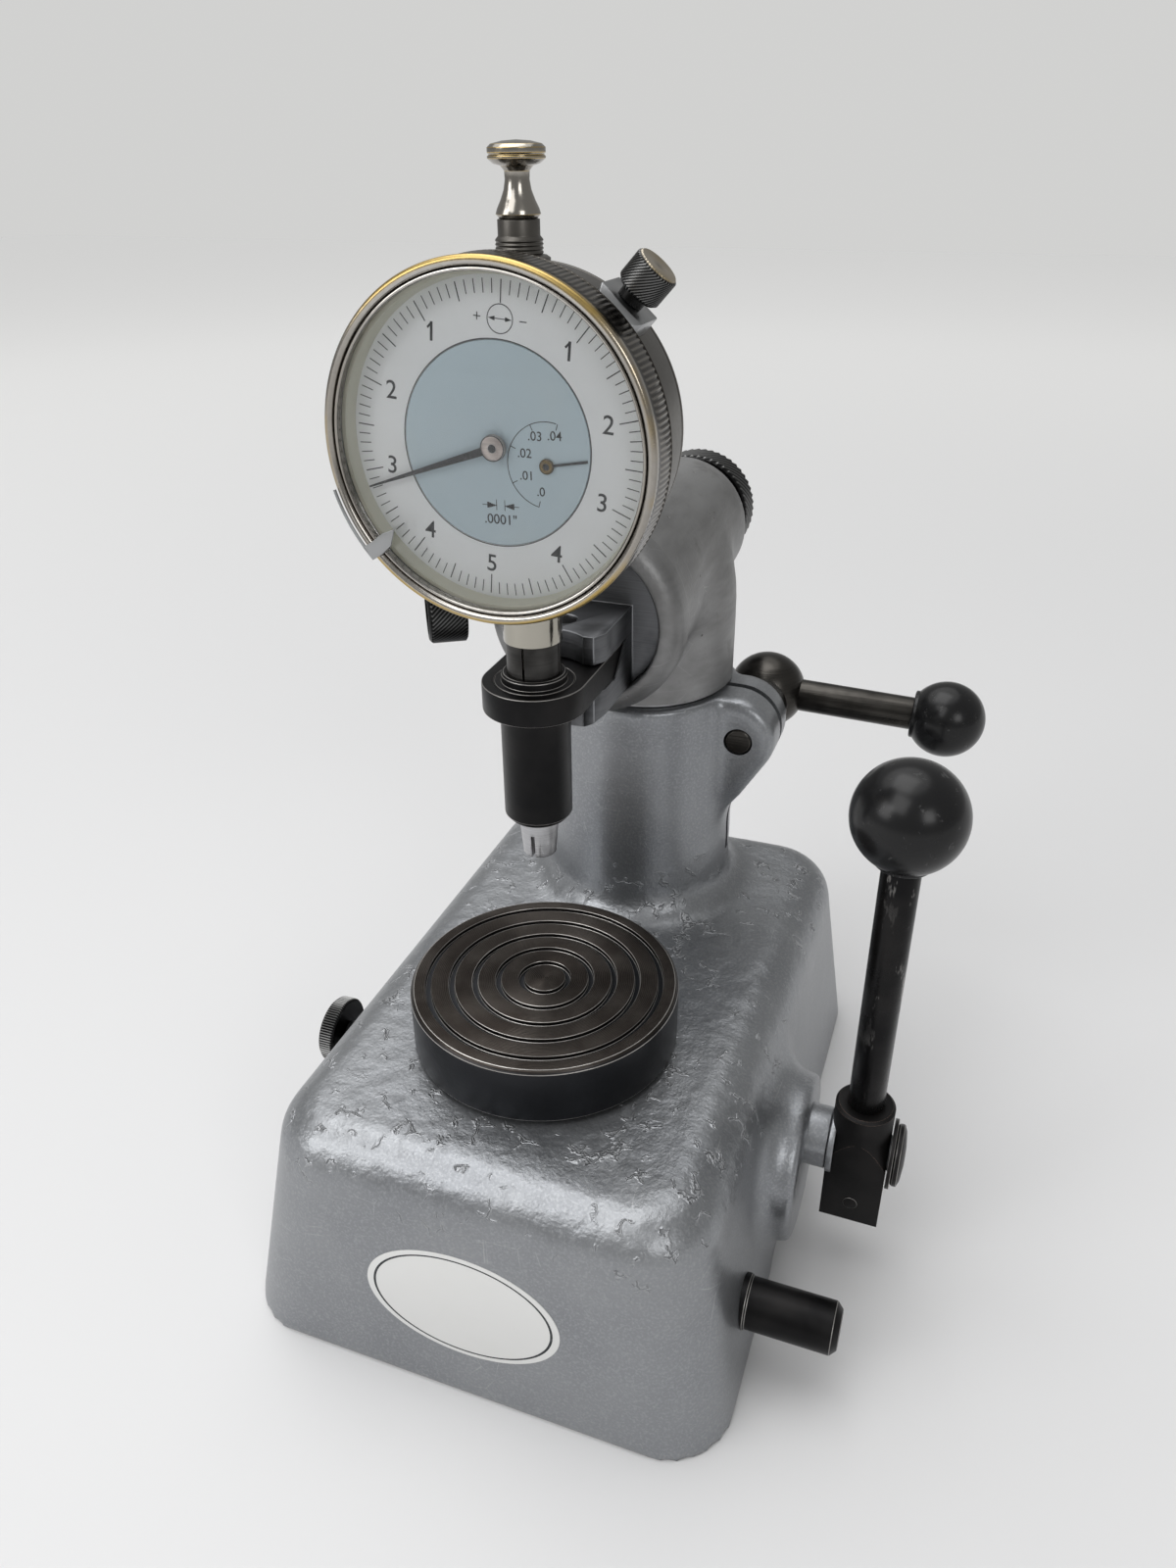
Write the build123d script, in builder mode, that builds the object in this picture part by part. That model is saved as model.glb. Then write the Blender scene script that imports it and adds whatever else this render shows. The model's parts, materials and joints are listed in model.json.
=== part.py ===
"""Setting stand for bore gauges: a lever lifts a round table under a dial gauge held by a clamped post.

Millimetres, Z up, front is -Y. The origin lies on the bench below the middle of the table.
"""

import os
from math import acos, cos, pi, radians, sin, sqrt, tan

from build123d import *

os.makedirs("parts", exist_ok=True)

UP = (0, 0, 1)
RIGHT = (1, 0, 0)
BACK = (0, 1, 0)

# Clearances shared by the whole stand
run_gap = 0.05
plug_gap = 0.02
seat_gap = 0.2
overrun = 1.0
arc_steps = 4

# Base casting
base_half_width = 57.1
base_front_reach = 54.1
base_back_margin = 39.0
base_height = 58.0
base_side_taper = 7.5
base_front_taper = 5.3
base_back_taper = 8.0
base_corner = 15.4
base_corner_taper = 1.4
base_edge_round = 11.0
base_wall = 7.0
base_roof = 9.0

# Column at the back of the base, split and drawn together by two ears
column_y = 71.0
column_radius = 24.0
column_height = 60.0
column_wall = 8.0
column_foot_round = 8.0
column_floor_thick = 2.0
slit_width = 2.0
slit_rise = 12.0
ear_reach = 1.5
ear_radius = 10.7
bolt_reach = 3.5
ear_drop = 34.0
ear_front_thick = 9.0
ear_rear_thick = 8.0
ear_edge = 2.4

# Bottom plate and its four screws
plate_thick = 4.0
plate_gap = 0.3
pillar_radius = 7.0
pillar_inset = 19.0
screw_radius = 2.0
screw_head_radius = 4.0
screw_length = 14.0
screw_sink = 0.3

# Table, its spindle and its rack
table_radius = 30.0
table_thick = 14.25
table_gap = 0.8
table_edge = 0.8
groove_width = 1.0
groove_depth = 1.0
groove_margin = 4.0
groove_count = 5
spindle_radius = 7.0
spindle_tail = 18.0
spigot_radius = 5.0
spigot_length = 7.0
bush_wall = 2.5
spindle_bush_gap = 1.0
boss_wall = 3.0

# Rack and pinion that lift the table
gear_module = 1.0
gear_teeth = 16
gear_pressure = 20.0
gear_backlash = 0.1
dedendum_share = 1.25
rack_depth_share = 2.0
pinion_gap = 1.5
pinion_width = 7.0
rack_rod_radius = 4.0
rack_clear = 9.0
rack_gaps_below = 6
rack_gaps_above = 2

# Lever shaft on the right-hand side
shaft_inset = 18.0
shaft_drop = 23.5
shaft_radius = 4.0
shaft_bush_radius = 7.0
side_boss_low = 10.5
side_boss_wall = 4.0
side_boss_proud = 3.5
side_boss_flare = 2.5
side_boss_edge = 1.5
bush_reach = 4.7
rib_gap = 2.5
rib_thick = 6.0
rib_half_width = 8.5
rib_drop = 8.5
rib_bush_radius = 6.0

# Lever
collar_radius = 7.7
collar_thick = 1.4
hub_radius = 6.6
hub_drop = 17.5
hub_rise = 13.5
hub_dome = 2.4
hub_dome_steps = 6
hub_rim_height = 1.6
hub_rim_lip = 0.35
hub_flat_depth = 1.1
hub_flat_top_gap = 3.5
hub_flat_foot_gap = 2.6
hub_flat_half_width = 4.6
hub_side_cut = 0.6
hub_collar_cut = 1.3
hub_pin_radius = 1.65
hub_pin_rise = 5.5
washer_radius = 9.0
washer_thick = 1.4
cap_radius = 8.5
cap_thick = 2.0
cap_dome = 0.8
cap_socket = 1.4
lever_rod_radius = 4.0
lever_rod_seat = 5.5
lever_ball_rise = 88.2
lever_ball_radius = 11.5
ball_flat = 1.2

# Stop pin for the lever
stop_pin_y = -24.0
stop_pin_z = 17.5
stop_pin_radius = 5.5
stop_pin_seat = 13.1
stop_pin_reach = 18.2
stop_pin_edge = 1.2

# Table lock on the left-hand side
lock_y = 3.0
lock_drop = 20.0
lock_neck = 3.6
lock_disc_thick = 4.0
lock_disc_radius = 8.3
lock_disc_edge = 0.6
lock_shank_radius = 2.75
lock_bush_flange = 4.4
lock_bush_radius = 4.2
lock_bush_inset = 4.2
lock_bush_thick = 1.0
lock_bush_length = 9.0
lock_boss_radius = 7.0

# Post that carries the head
post_foot_gap = 2.0
shoulder_inset = 0.9
shoulder_thick = 0.7
post_step = 4.0
post_neck_gap = 3.3

# Head casting
head_rise = 30.3
neck_inset = 1.6
neck_side_gap = 5.0
neck_edge = 0.8
barrel_reach = 32.5
barrel_taper = 3.3
barrel_edge = 1.0
rim_proud = 1.2
rim_reach = 46.0
rim_length = 8.0
rim_wall = 4.7
rim_edge = 4.2
carrier_socket = 11.0

# Arm carrier turned in the head
carrier_reach = 16.3
carrier_radius = 17.0
carrier_shoulder_depth = 3.0
carrier_side = 0.25
carrier_top = 4.1
slot_low = -7.9
slot_high = -1.9
slot_back_wall = 0.5
horn_gap = 0.75
horn_edge = 1.5
shank_radius = 9.0
shank_thread_radius = 6.0
rear_washer_radius = 11.5
rear_washer_thick = 2.0
knob_neck_radius = 8.0
knob_neck_length = 6.6
knob_radius = 15.1
knob_thick = 9.0
knob_edge = 0.8
knob_hole_depth = 9.5

# Thumb screw that locks the carrier in the head
thumb_gap = 5.3
thumb_inset = 1.0
thumb_yaw = 31.5
thumb_radius = 8.0
thumb_thick = 8.4
thumb_edge = 0.9
thumb_recess = 0.8
thumb_shank_radius = 2.5
thumb_reach = 11.0
thumb_cone = 1.6

# Arm plate with the eye for the gauge
eye_bore = 7.8
eye_wall = 2.45
eye_edge = 0.5
arm_thick = 5.7
arm_back_gap = 0.5
arm_screw_inset = 10.5
arm_screw_radius = 2.5
arm_screw_sink = 0.4
eye_screw_radius = 1.2

# Gauge holder and probe
holder_drop = 26.0
holder_step = 0.85
holder_foot_edge = 1.0
holder_neck_step = 1.35
holder_rise = 1.8
holder_top_edge = 0.4
holder_neck_wall = 1.2
collet_wall = 1.2
collet_seat = 7.0
collet_reach = 6.4
collet_slit = 0.5
stem_proud = 0.4
stem_reach = 11.9
stem_low_gap = 3.0
probe_seat = 4.5
probe_reach = 7.2
probe_taper = 0.6
probe_slit = 0.8
probe_slit_length = 5.2
plunger_radius = 1.9
plunger_proud = 0.6

# Dial gauge
case_radius = 26.5
case_wall = 2.5
case_front_depth = 6.2
case_back_depth = 0.4
case_back_thick = 2.2
case_back_lip = 1.5
bezel_overhang = 2.5
bezel_reach = 6.2
bezel_lap = 2.3
bezel_lip_cover = 0.9
bezel_lip_thick = 2.0
crystal_thick = 1.1
dial_plate_thick = 0.5
dial_plate_gap = 0.3
dial_ring_width = 10.1
dial_step_gap = 0.1
arbor_radius = 0.8
arbor_depth = 8.0
pointer_thick = 0.4
pointer_gap = 0.9
pointer_clear = 1.5
pointer_root = 0.7
pointer_angle = 199.0
pointer_hub_radius = 2.1
pointer_hub_thick = 0.6
counter_inset = 7.4
counter_z = -2.5
counter_hub_radius = 1.2
counter_length = 7.2
counter_half_width = 0.2
counter_angle = 10.0
counter_gap = 0.2
marker_angle = 219.7
marker_cover = 2.7
marker_half_width = 2.2
marker_thick = 0.4
marker_leg = 4.5

# Lug and knob that lock the bezel
lug_angle = 47.5
lug_gap = 1.9
lug_half_width = 4.3
lug_half_depth = 3.6
lug_height = 3.0
lug_screw_radius = 1.5
lug_neck_radius = 2.2
lug_neck_length = 1.6
lug_knob_radius = 3.8
lug_knob_length = 5.2
lug_knob_edge = 0.5

# Lifting cap on top of the gauge
top_flange_radius = 5.0
top_flange_height = 1.0
top_ring_radius = 3.9
top_ring_height = 2.8
top_collar_radius = 3.4
top_collar_height = 2.4
top_root = 5.0
cap_rod_gap = 0.1
cap_neck_low = 3.6
cap_neck_high = 1.9
cap_neck_height = 7.4
cap_neck_steps = 6
cap_disc_radius = 4.55
cap_disc_height = 3.5
cap_disc_edge = 0.9

# Clamp lever behind the column
bolt_radius = 3.4
clamp_washer_radius = 7.5
clamp_washer_thick = 4.0
clamp_neck_radius = 5.5
clamp_hub_radius = 9.0
clamp_neck_length = 10.0
clamp_arm_radius = 4.2
clamp_arm_seat = 6.0
clamp_arm_reach = 46.9
clamp_droop = 1.8
clamp_ball_radius = 9.6
clamp_ball_seat = 3.0
clamp_bolt_end = 4.0

# Table, rack and pinion: places that follow from the sizes above
table_low = base_height + table_gap
table_high = table_low + table_thick
groove_step = (table_radius - groove_margin) / groove_count
pitch_radius = gear_module * gear_teeth / 2
gear_pitch = pi * gear_module
gear_tip = pitch_radius + gear_module
gear_dedendum = gear_module * dedendum_share
gear_root = pitch_radius - gear_dedendum
gear_base = pitch_radius * cos(radians(gear_pressure))
shaft_y = table_radius - shaft_inset
shaft_z = base_height - shaft_drop
pinion_x = spindle_radius + pinion_gap
rack_line = shaft_y + pitch_radius
rack_face = rack_line - gear_module
rack_y = rack_line + gear_module * rack_depth_share
rack_x = pinion_x + pinion_width / 2
rack_foot = plate_thick + rack_clear
spindle_bush_floor = shaft_z + gear_tip + spindle_bush_gap
lock_z = base_height - lock_drop
spindle_foot = lock_z - spindle_tail

# Lever, stop pin and table lock
side_boss_high = shaft_z + shaft_bush_radius + side_boss_wall
side_boss_radius = (side_boss_high - side_boss_low) / 2
side_boss_z = side_boss_low + side_boss_radius
side_boss_face = base_half_width + side_boss_proud
rib_x = pinion_x + pinion_width + rib_gap
bush_end = side_boss_face + bush_reach
collar_x = bush_end + seat_gap
hub_left = collar_x + collar_thick
hub_x = hub_left + hub_radius - hub_collar_cut
hub_right = hub_x + hub_radius - hub_side_cut
hub_top = shaft_z + hub_rise
hub_foot = shaft_z - hub_drop
hub_flat_top = hub_top - hub_flat_top_gap
hub_flat_foot = hub_foot + hub_flat_foot_gap
hub_pin_z = hub_foot + hub_pin_rise
shaft_end = hub_right + washer_thick + cap_socket
lever_ball_z = shaft_z + lever_ball_rise
stop_pin_root = base_half_width - stop_pin_seat
stop_pin_end = base_half_width + stop_pin_reach
lock_bush_face = lock_bush_inset - base_half_width
lock_disc_x = lock_bush_face - lock_neck - lock_disc_thick

# Column, post and head
base_back_reach = column_y + base_back_margin
column_top = base_height + column_height
column_bore_floor = base_height + column_floor_thick
slit_floor = base_height + slit_rise
post_radius = column_radius - column_wall
post_foot = column_bore_floor + post_foot_gap
ear_x = column_radius + ear_reach
bolt_x = column_radius + bolt_reach
ear_z = column_top - ear_radius
ear_root = column_top - ear_drop
ear_front = column_y - slit_width / 2 - ear_front_thick
ear_back = column_y + slit_width / 2 + ear_rear_thick
neck_radius = column_radius - neck_inset
shoulder_radius = neck_radius - shoulder_inset
shoulder_low = column_top + seat_gap
head_foot = shoulder_low + shoulder_thick + seat_gap
head_z = column_top + head_rise
post_neck_radius = post_radius - post_step
post_neck_top = head_z - shank_radius - post_neck_gap
rim_radius = carrier_radius + rim_wall
rim_front = column_y - rim_reach
rim_back = rim_front + rim_length
barrel_radius = rim_radius - rim_proud
barrel_back_radius = barrel_radius - barrel_taper
barrel_waist = barrel_back_radius + barrel_taper / 4
barrel_back = column_y + barrel_reach
carrier_seat = rim_front + carrier_socket
shank_end = barrel_back + seat_gap + rear_washer_thick
knob_front = shank_end + seat_gap
thumb_x = -rim_radius - thumb_gap
thumb_y = rim_front + thumb_inset
clamp_washer_low = ear_back + seat_gap
clamp_washer_high = clamp_washer_low + clamp_washer_thick
clamp_hub_y = clamp_washer_high + clamp_neck_length

# Arm, holder and probe
eye_radius = eye_bore + eye_wall
carrier_front = rim_front - carrier_reach
carrier_shoulder = rim_front + carrier_shoulder_depth
carrier_half_width = eye_radius + carrier_side
horn_notch = eye_radius + horn_gap
slot_back = carrier_shoulder - slot_back_wall
slot_floor = head_z + slot_low
slot_roof = head_z + slot_high
arm_low = slot_floor + (slot_roof - slot_floor - arm_thick) / 3
arm_high = arm_low + arm_thick
arm_back = slot_back - arm_back_gap
arm_screw_y = arm_back - arm_screw_inset
holder_eye_radius = eye_bore - run_gap
holder_radius = holder_eye_radius - holder_step
holder_neck_radius = holder_eye_radius - holder_neck_step
holder_foot = arm_low - holder_drop
holder_top = arm_high + holder_rise
collet_radius = holder_neck_radius - holder_neck_wall
collet_foot = holder_top - collet_seat
stem_low_radius = collet_radius - collet_wall
stem_radius = collet_radius + stem_proud
stem_foot = holder_top + collet_reach
holder_bore = stem_low_radius + run_gap
probe_top = holder_foot + probe_seat
probe_foot = holder_foot - probe_reach
probe_foot_radius = stem_low_radius - probe_taper
probe_slit_top = probe_foot + probe_slit_length
stem_low_foot = probe_top + stem_low_gap
plunger_foot = probe_foot - plunger_proud

# Dial gauge
dial_z = stem_foot + stem_reach + case_radius
case_front = -stem_radius - case_front_depth
case_back_y = stem_radius + case_back_depth
case_top = dial_z + case_radius
stem_top = dial_z - case_radius + case_wall - seat_gap
bezel_radius = case_radius + bezel_overhang
bezel_lip = case_radius - bezel_lip_cover
bezel_front = case_front - bezel_reach
bezel_rear = case_front + bezel_lap
dial_step_radius = case_radius - dial_ring_width
counter_x = dial_step_radius - counter_inset
dial_back = case_front - dial_plate_gap
dial_front = dial_back - dial_plate_thick
crystal_front = bezel_front + bezel_lip_thick
crystal_back = crystal_front + crystal_thick
pointer_length = case_radius - pointer_clear
marker_inner = case_radius - marker_cover
lug_y = bezel_rear + lug_gap + lug_half_depth
lug_reach = case_radius + lug_height
top_ring_low = case_top + top_flange_height
top_collar_low = top_ring_low + top_ring_height
lift_cap_low = top_collar_low + top_collar_height + cap_rod_gap


def lathe(origin, direction):
    """Plane across a turning axis: x is the radius and y runs along the axis."""
    across = Plane(origin=origin, z_dir=direction).x_dir
    return Plane(origin=origin, x_dir=across, z_dir=across.cross(Vector(*direction)))


def turn(origin, direction, outline, mode=Mode.ADD):
    """Turned shape from points of radius and distance along its axis."""
    with BuildSketch(lathe(origin, direction)) as half:
        with BuildLine():
            Polyline(*outline, close=True)
        make_face()
    revolve(half.sketch, axis=Axis(origin, direction), mode=mode)


def rod(origin, direction, radius, start, end, mode=Mode.ADD):
    """Plain cylinder between two distances along its axis."""
    turn(origin, direction, [(0, start), (radius, start), (radius, end), (0, end)], mode)


def tube(origin, direction, inner, outer, start, end):
    """Plain ring between two distances along its axis."""
    turn(origin, direction, [(inner, start), (outer, start), (outer, end), (inner, end)])


def disc(origin, direction, radius, start, end, edge):
    """Cylinder with both rims chamfered."""
    rim = radius - edge
    outline = [(0, start), (rim, start), (radius, start + edge), (radius, end - edge), (rim, end), (0, end)]
    turn(origin, direction, outline)


def block(x_range, y_range, z_range, mode=Mode.ADD):
    """Box between two corners."""
    (x0, x1), (y0, y1), (z0, z1) = x_range, y_range, z_range
    with BuildSketch(Plane.XY.offset(z0)) as outline:
        with Locations(((x0 + x1) / 2, (y0 + y1) / 2)):
            Rectangle(x1 - x0, y1 - y0)
    extrude(outline.sketch, amount=z1 - z0, mode=mode)


def ball(centre, radius):
    """Sphere with its centre at a point."""
    with Locations(centre):
        Sphere(radius)


def save(builder, label):
    """Names a finished piece and writes its file."""
    builder.part.label = label
    export_step(builder.part, f"parts/{label}.step")


def base_section(height, inset):
    """Outline of the base at a height, moved in from its outer face."""
    rise = height / base_height
    half = base_half_width - base_side_taper * rise - inset
    front = base_front_reach - base_front_taper * rise - inset
    back = base_back_reach - base_back_taper * rise - inset
    corner = max(base_corner - base_corner_taper * rise - inset, base_wall / 4)
    with BuildSketch(Plane.XY.offset(height)) as outline:
        with Locations((0, (back - front) / 2)):
            RectangleRounded(2 * half, back + front, corner)
    return outline.sketch


def pillar_places():
    """Middles of the four screw pillars inside the corners of the base."""
    x = base_half_width - pillar_inset
    front, back = pillar_inset - base_front_reach, base_back_reach - pillar_inset
    return [(side * x, y) for side in (-1, 1) for y in (front, back)]


def quarter(centre_r, centre_h, radius, start):
    """Points of a quarter circle in an outline after its first one, from a start angle in degrees."""
    angles = [radians(start + 90 * step / arc_steps) for step in range(1, arc_steps + 1)]
    return [(centre_r + radius * cos(angle), centre_h + radius * sin(angle)) for angle in angles]


# Base casting with its column, ears and bosses
base_inner_top = base_height - base_roof
column_place = (0, column_y, 0)
rack_place = (rack_x, rack_y, 0)
shaft_place = (0, shaft_y, shaft_z)
lock_place = (0, lock_y, lock_z)
bolt_place = (bolt_x, 0, ear_z)
spindle_bush_radius = spindle_radius + run_gap + bush_wall
rack_bush_radius = rack_rod_radius + run_gap + bush_wall
bush_top = base_height - table_gap

with BuildPart() as ear:
    with BuildSketch(Plane.XZ.offset(-ear_front)) as ear_outline:
        with Locations((ear_x, ear_z)):
            Circle(ear_radius)
        with Locations((column_radius / 2, (column_top + ear_root) / 2)):
            Rectangle(column_radius, column_top - ear_root)
        make_hull()
    extrude(ear_outline.sketch, amount=ear_front - ear_back)
    ear_ends = ear.faces().sort_by(Axis.Y)
    fillet(ear_ends[0].edges() + ear_ends[-1].edges(), ear_edge)

with BuildPart() as base_casting:
    loft(sections=[base_section(0, 0), base_section(base_height, 0)])
    fillet(base_casting.faces().sort_by(Axis.Z)[-1].edges(), base_edge_round)
    with BuildSketch(Plane.XY.offset(base_height - base_edge_round)) as column_outline:
        with Locations((0, column_y)):
            Circle(column_radius)
    extrude(column_outline.sketch, amount=column_top - base_height + base_edge_round)
    foot = [
        edge
        for edge in base_casting.edges(Select.LAST)
        if edge.center().Z < base_height + overrun and edge.bounding_box().size.Z < base_edge_round
    ]
    fillet(foot, column_foot_round)
    add(ear.part)
    turn(
        (0, shaft_y, side_boss_z),
        RIGHT,
        [
            (0, base_half_width - base_side_taper - base_wall / 2),
            (side_boss_radius + side_boss_flare, base_half_width - base_side_taper - base_wall / 2),
            (side_boss_radius, side_boss_face - side_boss_edge),
            (side_boss_radius - side_boss_edge, side_boss_face),
            (0, side_boss_face),
        ],
    )
    loft(sections=[base_section(0, base_wall), base_section(base_inner_top, base_wall)], mode=Mode.SUBTRACT)
    for x, y in pillar_places():
        rod((x, y, 0), UP, pillar_radius, plate_thick, base_inner_top + overrun)
    boss_floor = spindle_bush_floor
    rod((0, 0, 0), UP, spindle_bush_radius + boss_wall, boss_floor, base_inner_top + overrun)
    rod(rack_place, UP, rack_bush_radius + boss_wall, boss_floor, base_inner_top + overrun)
    block(
        (rib_x, rib_x + rib_thick),
        (shaft_y - rib_half_width, shaft_y + rib_half_width),
        (shaft_z - rib_drop, base_inner_top + overrun),
    )
    lock_boss_face = lock_bush_face + lock_bush_length
    rod(lock_place, RIGHT, lock_boss_radius, lock_bush_face + base_wall / 2, lock_boss_face)
    rod(column_place, UP, post_radius + run_gap, column_bore_floor, column_top + overrun, Mode.SUBTRACT)
    slit_y = (column_y - slit_width / 2, column_y + slit_width / 2)
    block((0, ear_x + ear_radius + overrun), slit_y, (slit_floor, column_top + overrun), Mode.SUBTRACT)
    rod(bolt_place, BACK, bolt_radius + run_gap, ear_front - overrun, ear_back + overrun, Mode.SUBTRACT)
    face_end = column_y + column_radius + overrun
    rod(bolt_place, BACK, clamp_washer_radius + seat_gap, ear_back, face_end, Mode.SUBTRACT)
    rod((0, 0, 0), UP, spindle_bush_radius + plug_gap, 0, base_height + overrun, Mode.SUBTRACT)
    rod(rack_place, UP, rack_bush_radius + plug_gap, 0, base_height + overrun, Mode.SUBTRACT)
    rib_end = rib_x + rib_thick + overrun
    rod(shaft_place, RIGHT, rib_bush_radius + plug_gap, rib_x - overrun, rib_end, Mode.SUBTRACT)
    rod(shaft_place, RIGHT, shaft_bush_radius + plug_gap, rib_end, bush_end, Mode.SUBTRACT)
    lock_flange_back = lock_bush_face + lock_bush_thick
    rod(lock_place, RIGHT, lock_bush_flange + seat_gap, lock_disc_x, lock_flange_back, Mode.SUBTRACT)
    rod(lock_place, RIGHT, lock_bush_radius + plug_gap, lock_disc_x, lock_boss_face + overrun, Mode.SUBTRACT)
    rod(
        (0, stop_pin_y, stop_pin_z),
        RIGHT,
        stop_pin_radius + plug_gap,
        stop_pin_root - seat_gap,
        stop_pin_end,
        Mode.SUBTRACT,
    )
    for x, y in pillar_places():
        rod((x, y, 0), UP, screw_radius + run_gap, 0, screw_length + seat_gap, Mode.SUBTRACT)
save(base_casting, "base_casting")

# Bottom plate, closed by four countersunk screws
with BuildPart() as bottom_plate:
    plate_inset = base_wall + plate_gap
    loft(sections=[base_section(0, plate_inset), base_section(plate_thick, plate_inset)])
    for x, y in pillar_places():
        sink = screw_head_radius + run_gap
        deep = screw_sink + screw_head_radius - screw_radius
        turn(
            (x, y, 0),
            UP,
            [
                (0, -overrun),
                (sink, -overrun),
                (sink, screw_sink),
                (screw_radius + run_gap, deep),
                (screw_radius + run_gap, plate_thick + overrun),
                (0, plate_thick + overrun),
            ],
            Mode.SUBTRACT,
        )
save(bottom_plate, "bottom_plate")

with BuildPart() as bottom_screws:
    for x, y in pillar_places():
        deep = screw_sink + screw_head_radius - screw_radius
        turn(
            (x, y, 0),
            UP,
            [
                (0, screw_sink),
                (screw_head_radius, screw_sink),
                (screw_radius, deep),
                (screw_radius, screw_length),
                (0, screw_length),
            ],
        )
        block(
            (x - screw_radius, x + screw_radius),
            (y - screw_sink, y + screw_sink),
            (0, screw_sink + screw_radius / 2),
            Mode.SUBTRACT,
        )
save(bottom_screws, "bottom_screws")

# Bushes in the base
with BuildPart() as spindle_bush:
    tube((0, 0, 0), UP, spindle_radius + run_gap, spindle_bush_radius, spindle_bush_floor, bush_top)
save(spindle_bush, "spindle_bush")

with BuildPart() as rack_bush:
    tube(rack_place, UP, rack_rod_radius + run_gap, rack_bush_radius, spindle_bush_floor, bush_top)
save(rack_bush, "rack_bush")

with BuildPart() as shaft_bush_inner:
    tube(shaft_place, RIGHT, shaft_radius + run_gap, rib_bush_radius, rib_x, rib_x + rib_thick)
save(shaft_bush_inner, "shaft_bush_inner")

with BuildPart() as shaft_bush_outer:
    bush_start = base_half_width - base_side_taper - base_wall
    tube(shaft_place, RIGHT, shaft_radius + run_gap, shaft_bush_radius, bush_start, bush_end)
save(shaft_bush_outer, "shaft_bush_outer")

with BuildPart() as stop_pin:
    turn(
        (0, stop_pin_y, stop_pin_z),
        RIGHT,
        [
            (0, stop_pin_root),
            (stop_pin_radius, stop_pin_root),
            (stop_pin_radius, stop_pin_end - stop_pin_edge),
            (stop_pin_radius - stop_pin_edge, stop_pin_end),
            (0, stop_pin_end),
        ],
    )
save(stop_pin, "stop_pin")

with BuildPart() as lock_bush:
    bore = lock_shank_radius + run_gap
    turn(
        lock_place,
        RIGHT,
        [
            (bore, lock_bush_face),
            (lock_bush_flange, lock_bush_face),
            (lock_bush_flange, lock_flange_back),
            (lock_bush_radius, lock_flange_back),
            (lock_bush_radius, lock_boss_face),
            (bore, lock_boss_face),
        ],
    )
save(lock_bush, "lock_bush")

# Table with its turned grooves
with BuildPart() as table:
    disc((0, 0, 0), UP, table_radius, table_low, table_high, table_edge)
    for ring in range(1, groove_count + 1):
        middle = ring * groove_step
        turn(
            (0, 0, 0),
            UP,
            [
                (middle - groove_width / 2, table_high + overrun),
                (middle + groove_width / 2, table_high + overrun),
                (middle + groove_width / 2, table_high - groove_depth),
                (middle - groove_width / 2, table_high - groove_depth),
            ],
            Mode.SUBTRACT,
        )
    socket_top = table_low + spigot_length
    rod((0, 0, 0), UP, spigot_radius + plug_gap, table_low - overrun, socket_top + seat_gap, Mode.SUBTRACT)
    rod(
        rack_place,
        UP,
        rack_rod_radius + plug_gap,
        table_low - overrun,
        socket_top + seat_gap,
        Mode.SUBTRACT,
    )
save(table, "table")

with BuildPart() as table_spindle:
    turn(
        (0, 0, 0),
        UP,
        [
            (0, spindle_foot),
            (spindle_radius, spindle_foot),
            (spindle_radius, table_low),
            (spigot_radius, table_low),
            (spigot_radius, socket_top),
            (0, socket_top),
        ],
    )
save(table_spindle, "table_spindle")


def flank_half(height):
    """Half the thickness of a straight rack tooth above its pitch line."""
    return gear_pitch / 4 - gear_backlash / 2 - height * tan(radians(gear_pressure))


# Rack rod, cut with straight teeth that face the pinion
with BuildPart() as rack_rod:
    rod(rack_place, UP, rack_rod_radius, rack_foot, socket_top)
    gap_low = shaft_z - (rack_gaps_below + 1 / 2) * gear_pitch
    gap_high = shaft_z + (rack_gaps_above + 1 / 2) * gear_pitch
    half_rod = rack_rod_radius + overrun
    with BuildSketch(Plane.YZ.offset(rack_x - half_rod)) as rack_cut:
        flat_foot = min(gap_low, rack_foot) - overrun
        with Locations((rack_face - half_rod / 2, (flat_foot + gap_high) / 2)):
            Rectangle(half_rod, gap_high - flat_foot)
        for gap in range(-rack_gaps_below, rack_gaps_above + 1):
            middle = shaft_z + gap * gear_pitch
            mouth = gear_pitch / 2 - flank_half(gear_module)
            root = gear_pitch / 2 - flank_half(-gear_dedendum)
            root_y = rack_line + gear_dedendum
            with BuildLine():
                Polyline(
                    (rack_face, middle - mouth),
                    (rack_face, middle + mouth),
                    (root_y, middle + root),
                    (root_y, middle - root),
                    close=True,
                )
            make_face()
    extrude(rack_cut.sketch, amount=2 * half_rod, mode=Mode.SUBTRACT)
save(rack_rod, "rack_rod")


def involute(radius):
    """Angle that a gear flank has turned through at a radius."""
    pressure = acos(min(1, gear_base / radius))
    return tan(pressure) - pressure


def pinion_outline():
    """Points round the pinion, tooth by tooth, with one tooth towards the rack."""
    middle_half = pi / (2 * gear_teeth) - gear_backlash / (2 * pitch_radius) + involute(pitch_radius)
    radii = [gear_root, gear_base, (gear_base + gear_tip) / 2, gear_tip]
    points = []
    for tooth in range(gear_teeth):
        middle = 2 * pi * tooth / gear_teeth
        flank = [(radius, middle_half - involute(radius)) for radius in radii]
        for radius, half in flank:
            points.append((radius * cos(middle - half), radius * sin(middle - half)))
        for radius, half in reversed(flank):
            points.append((radius * cos(middle + half), radius * sin(middle + half)))
    return points


# Pinion on the inner end of the lever shaft
with BuildPart() as pinion:
    pinion_plane = Plane(origin=(pinion_x, shaft_y, shaft_z), x_dir=BACK, z_dir=RIGHT)
    with BuildSketch(pinion_plane) as pinion_face:
        with BuildLine():
            Polyline(*pinion_outline(), close=True)
        make_face()
        Circle(shaft_radius + plug_gap, mode=Mode.SUBTRACT)
    extrude(pinion_face.sketch, amount=pinion_width)
save(pinion, "pinion")

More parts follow.
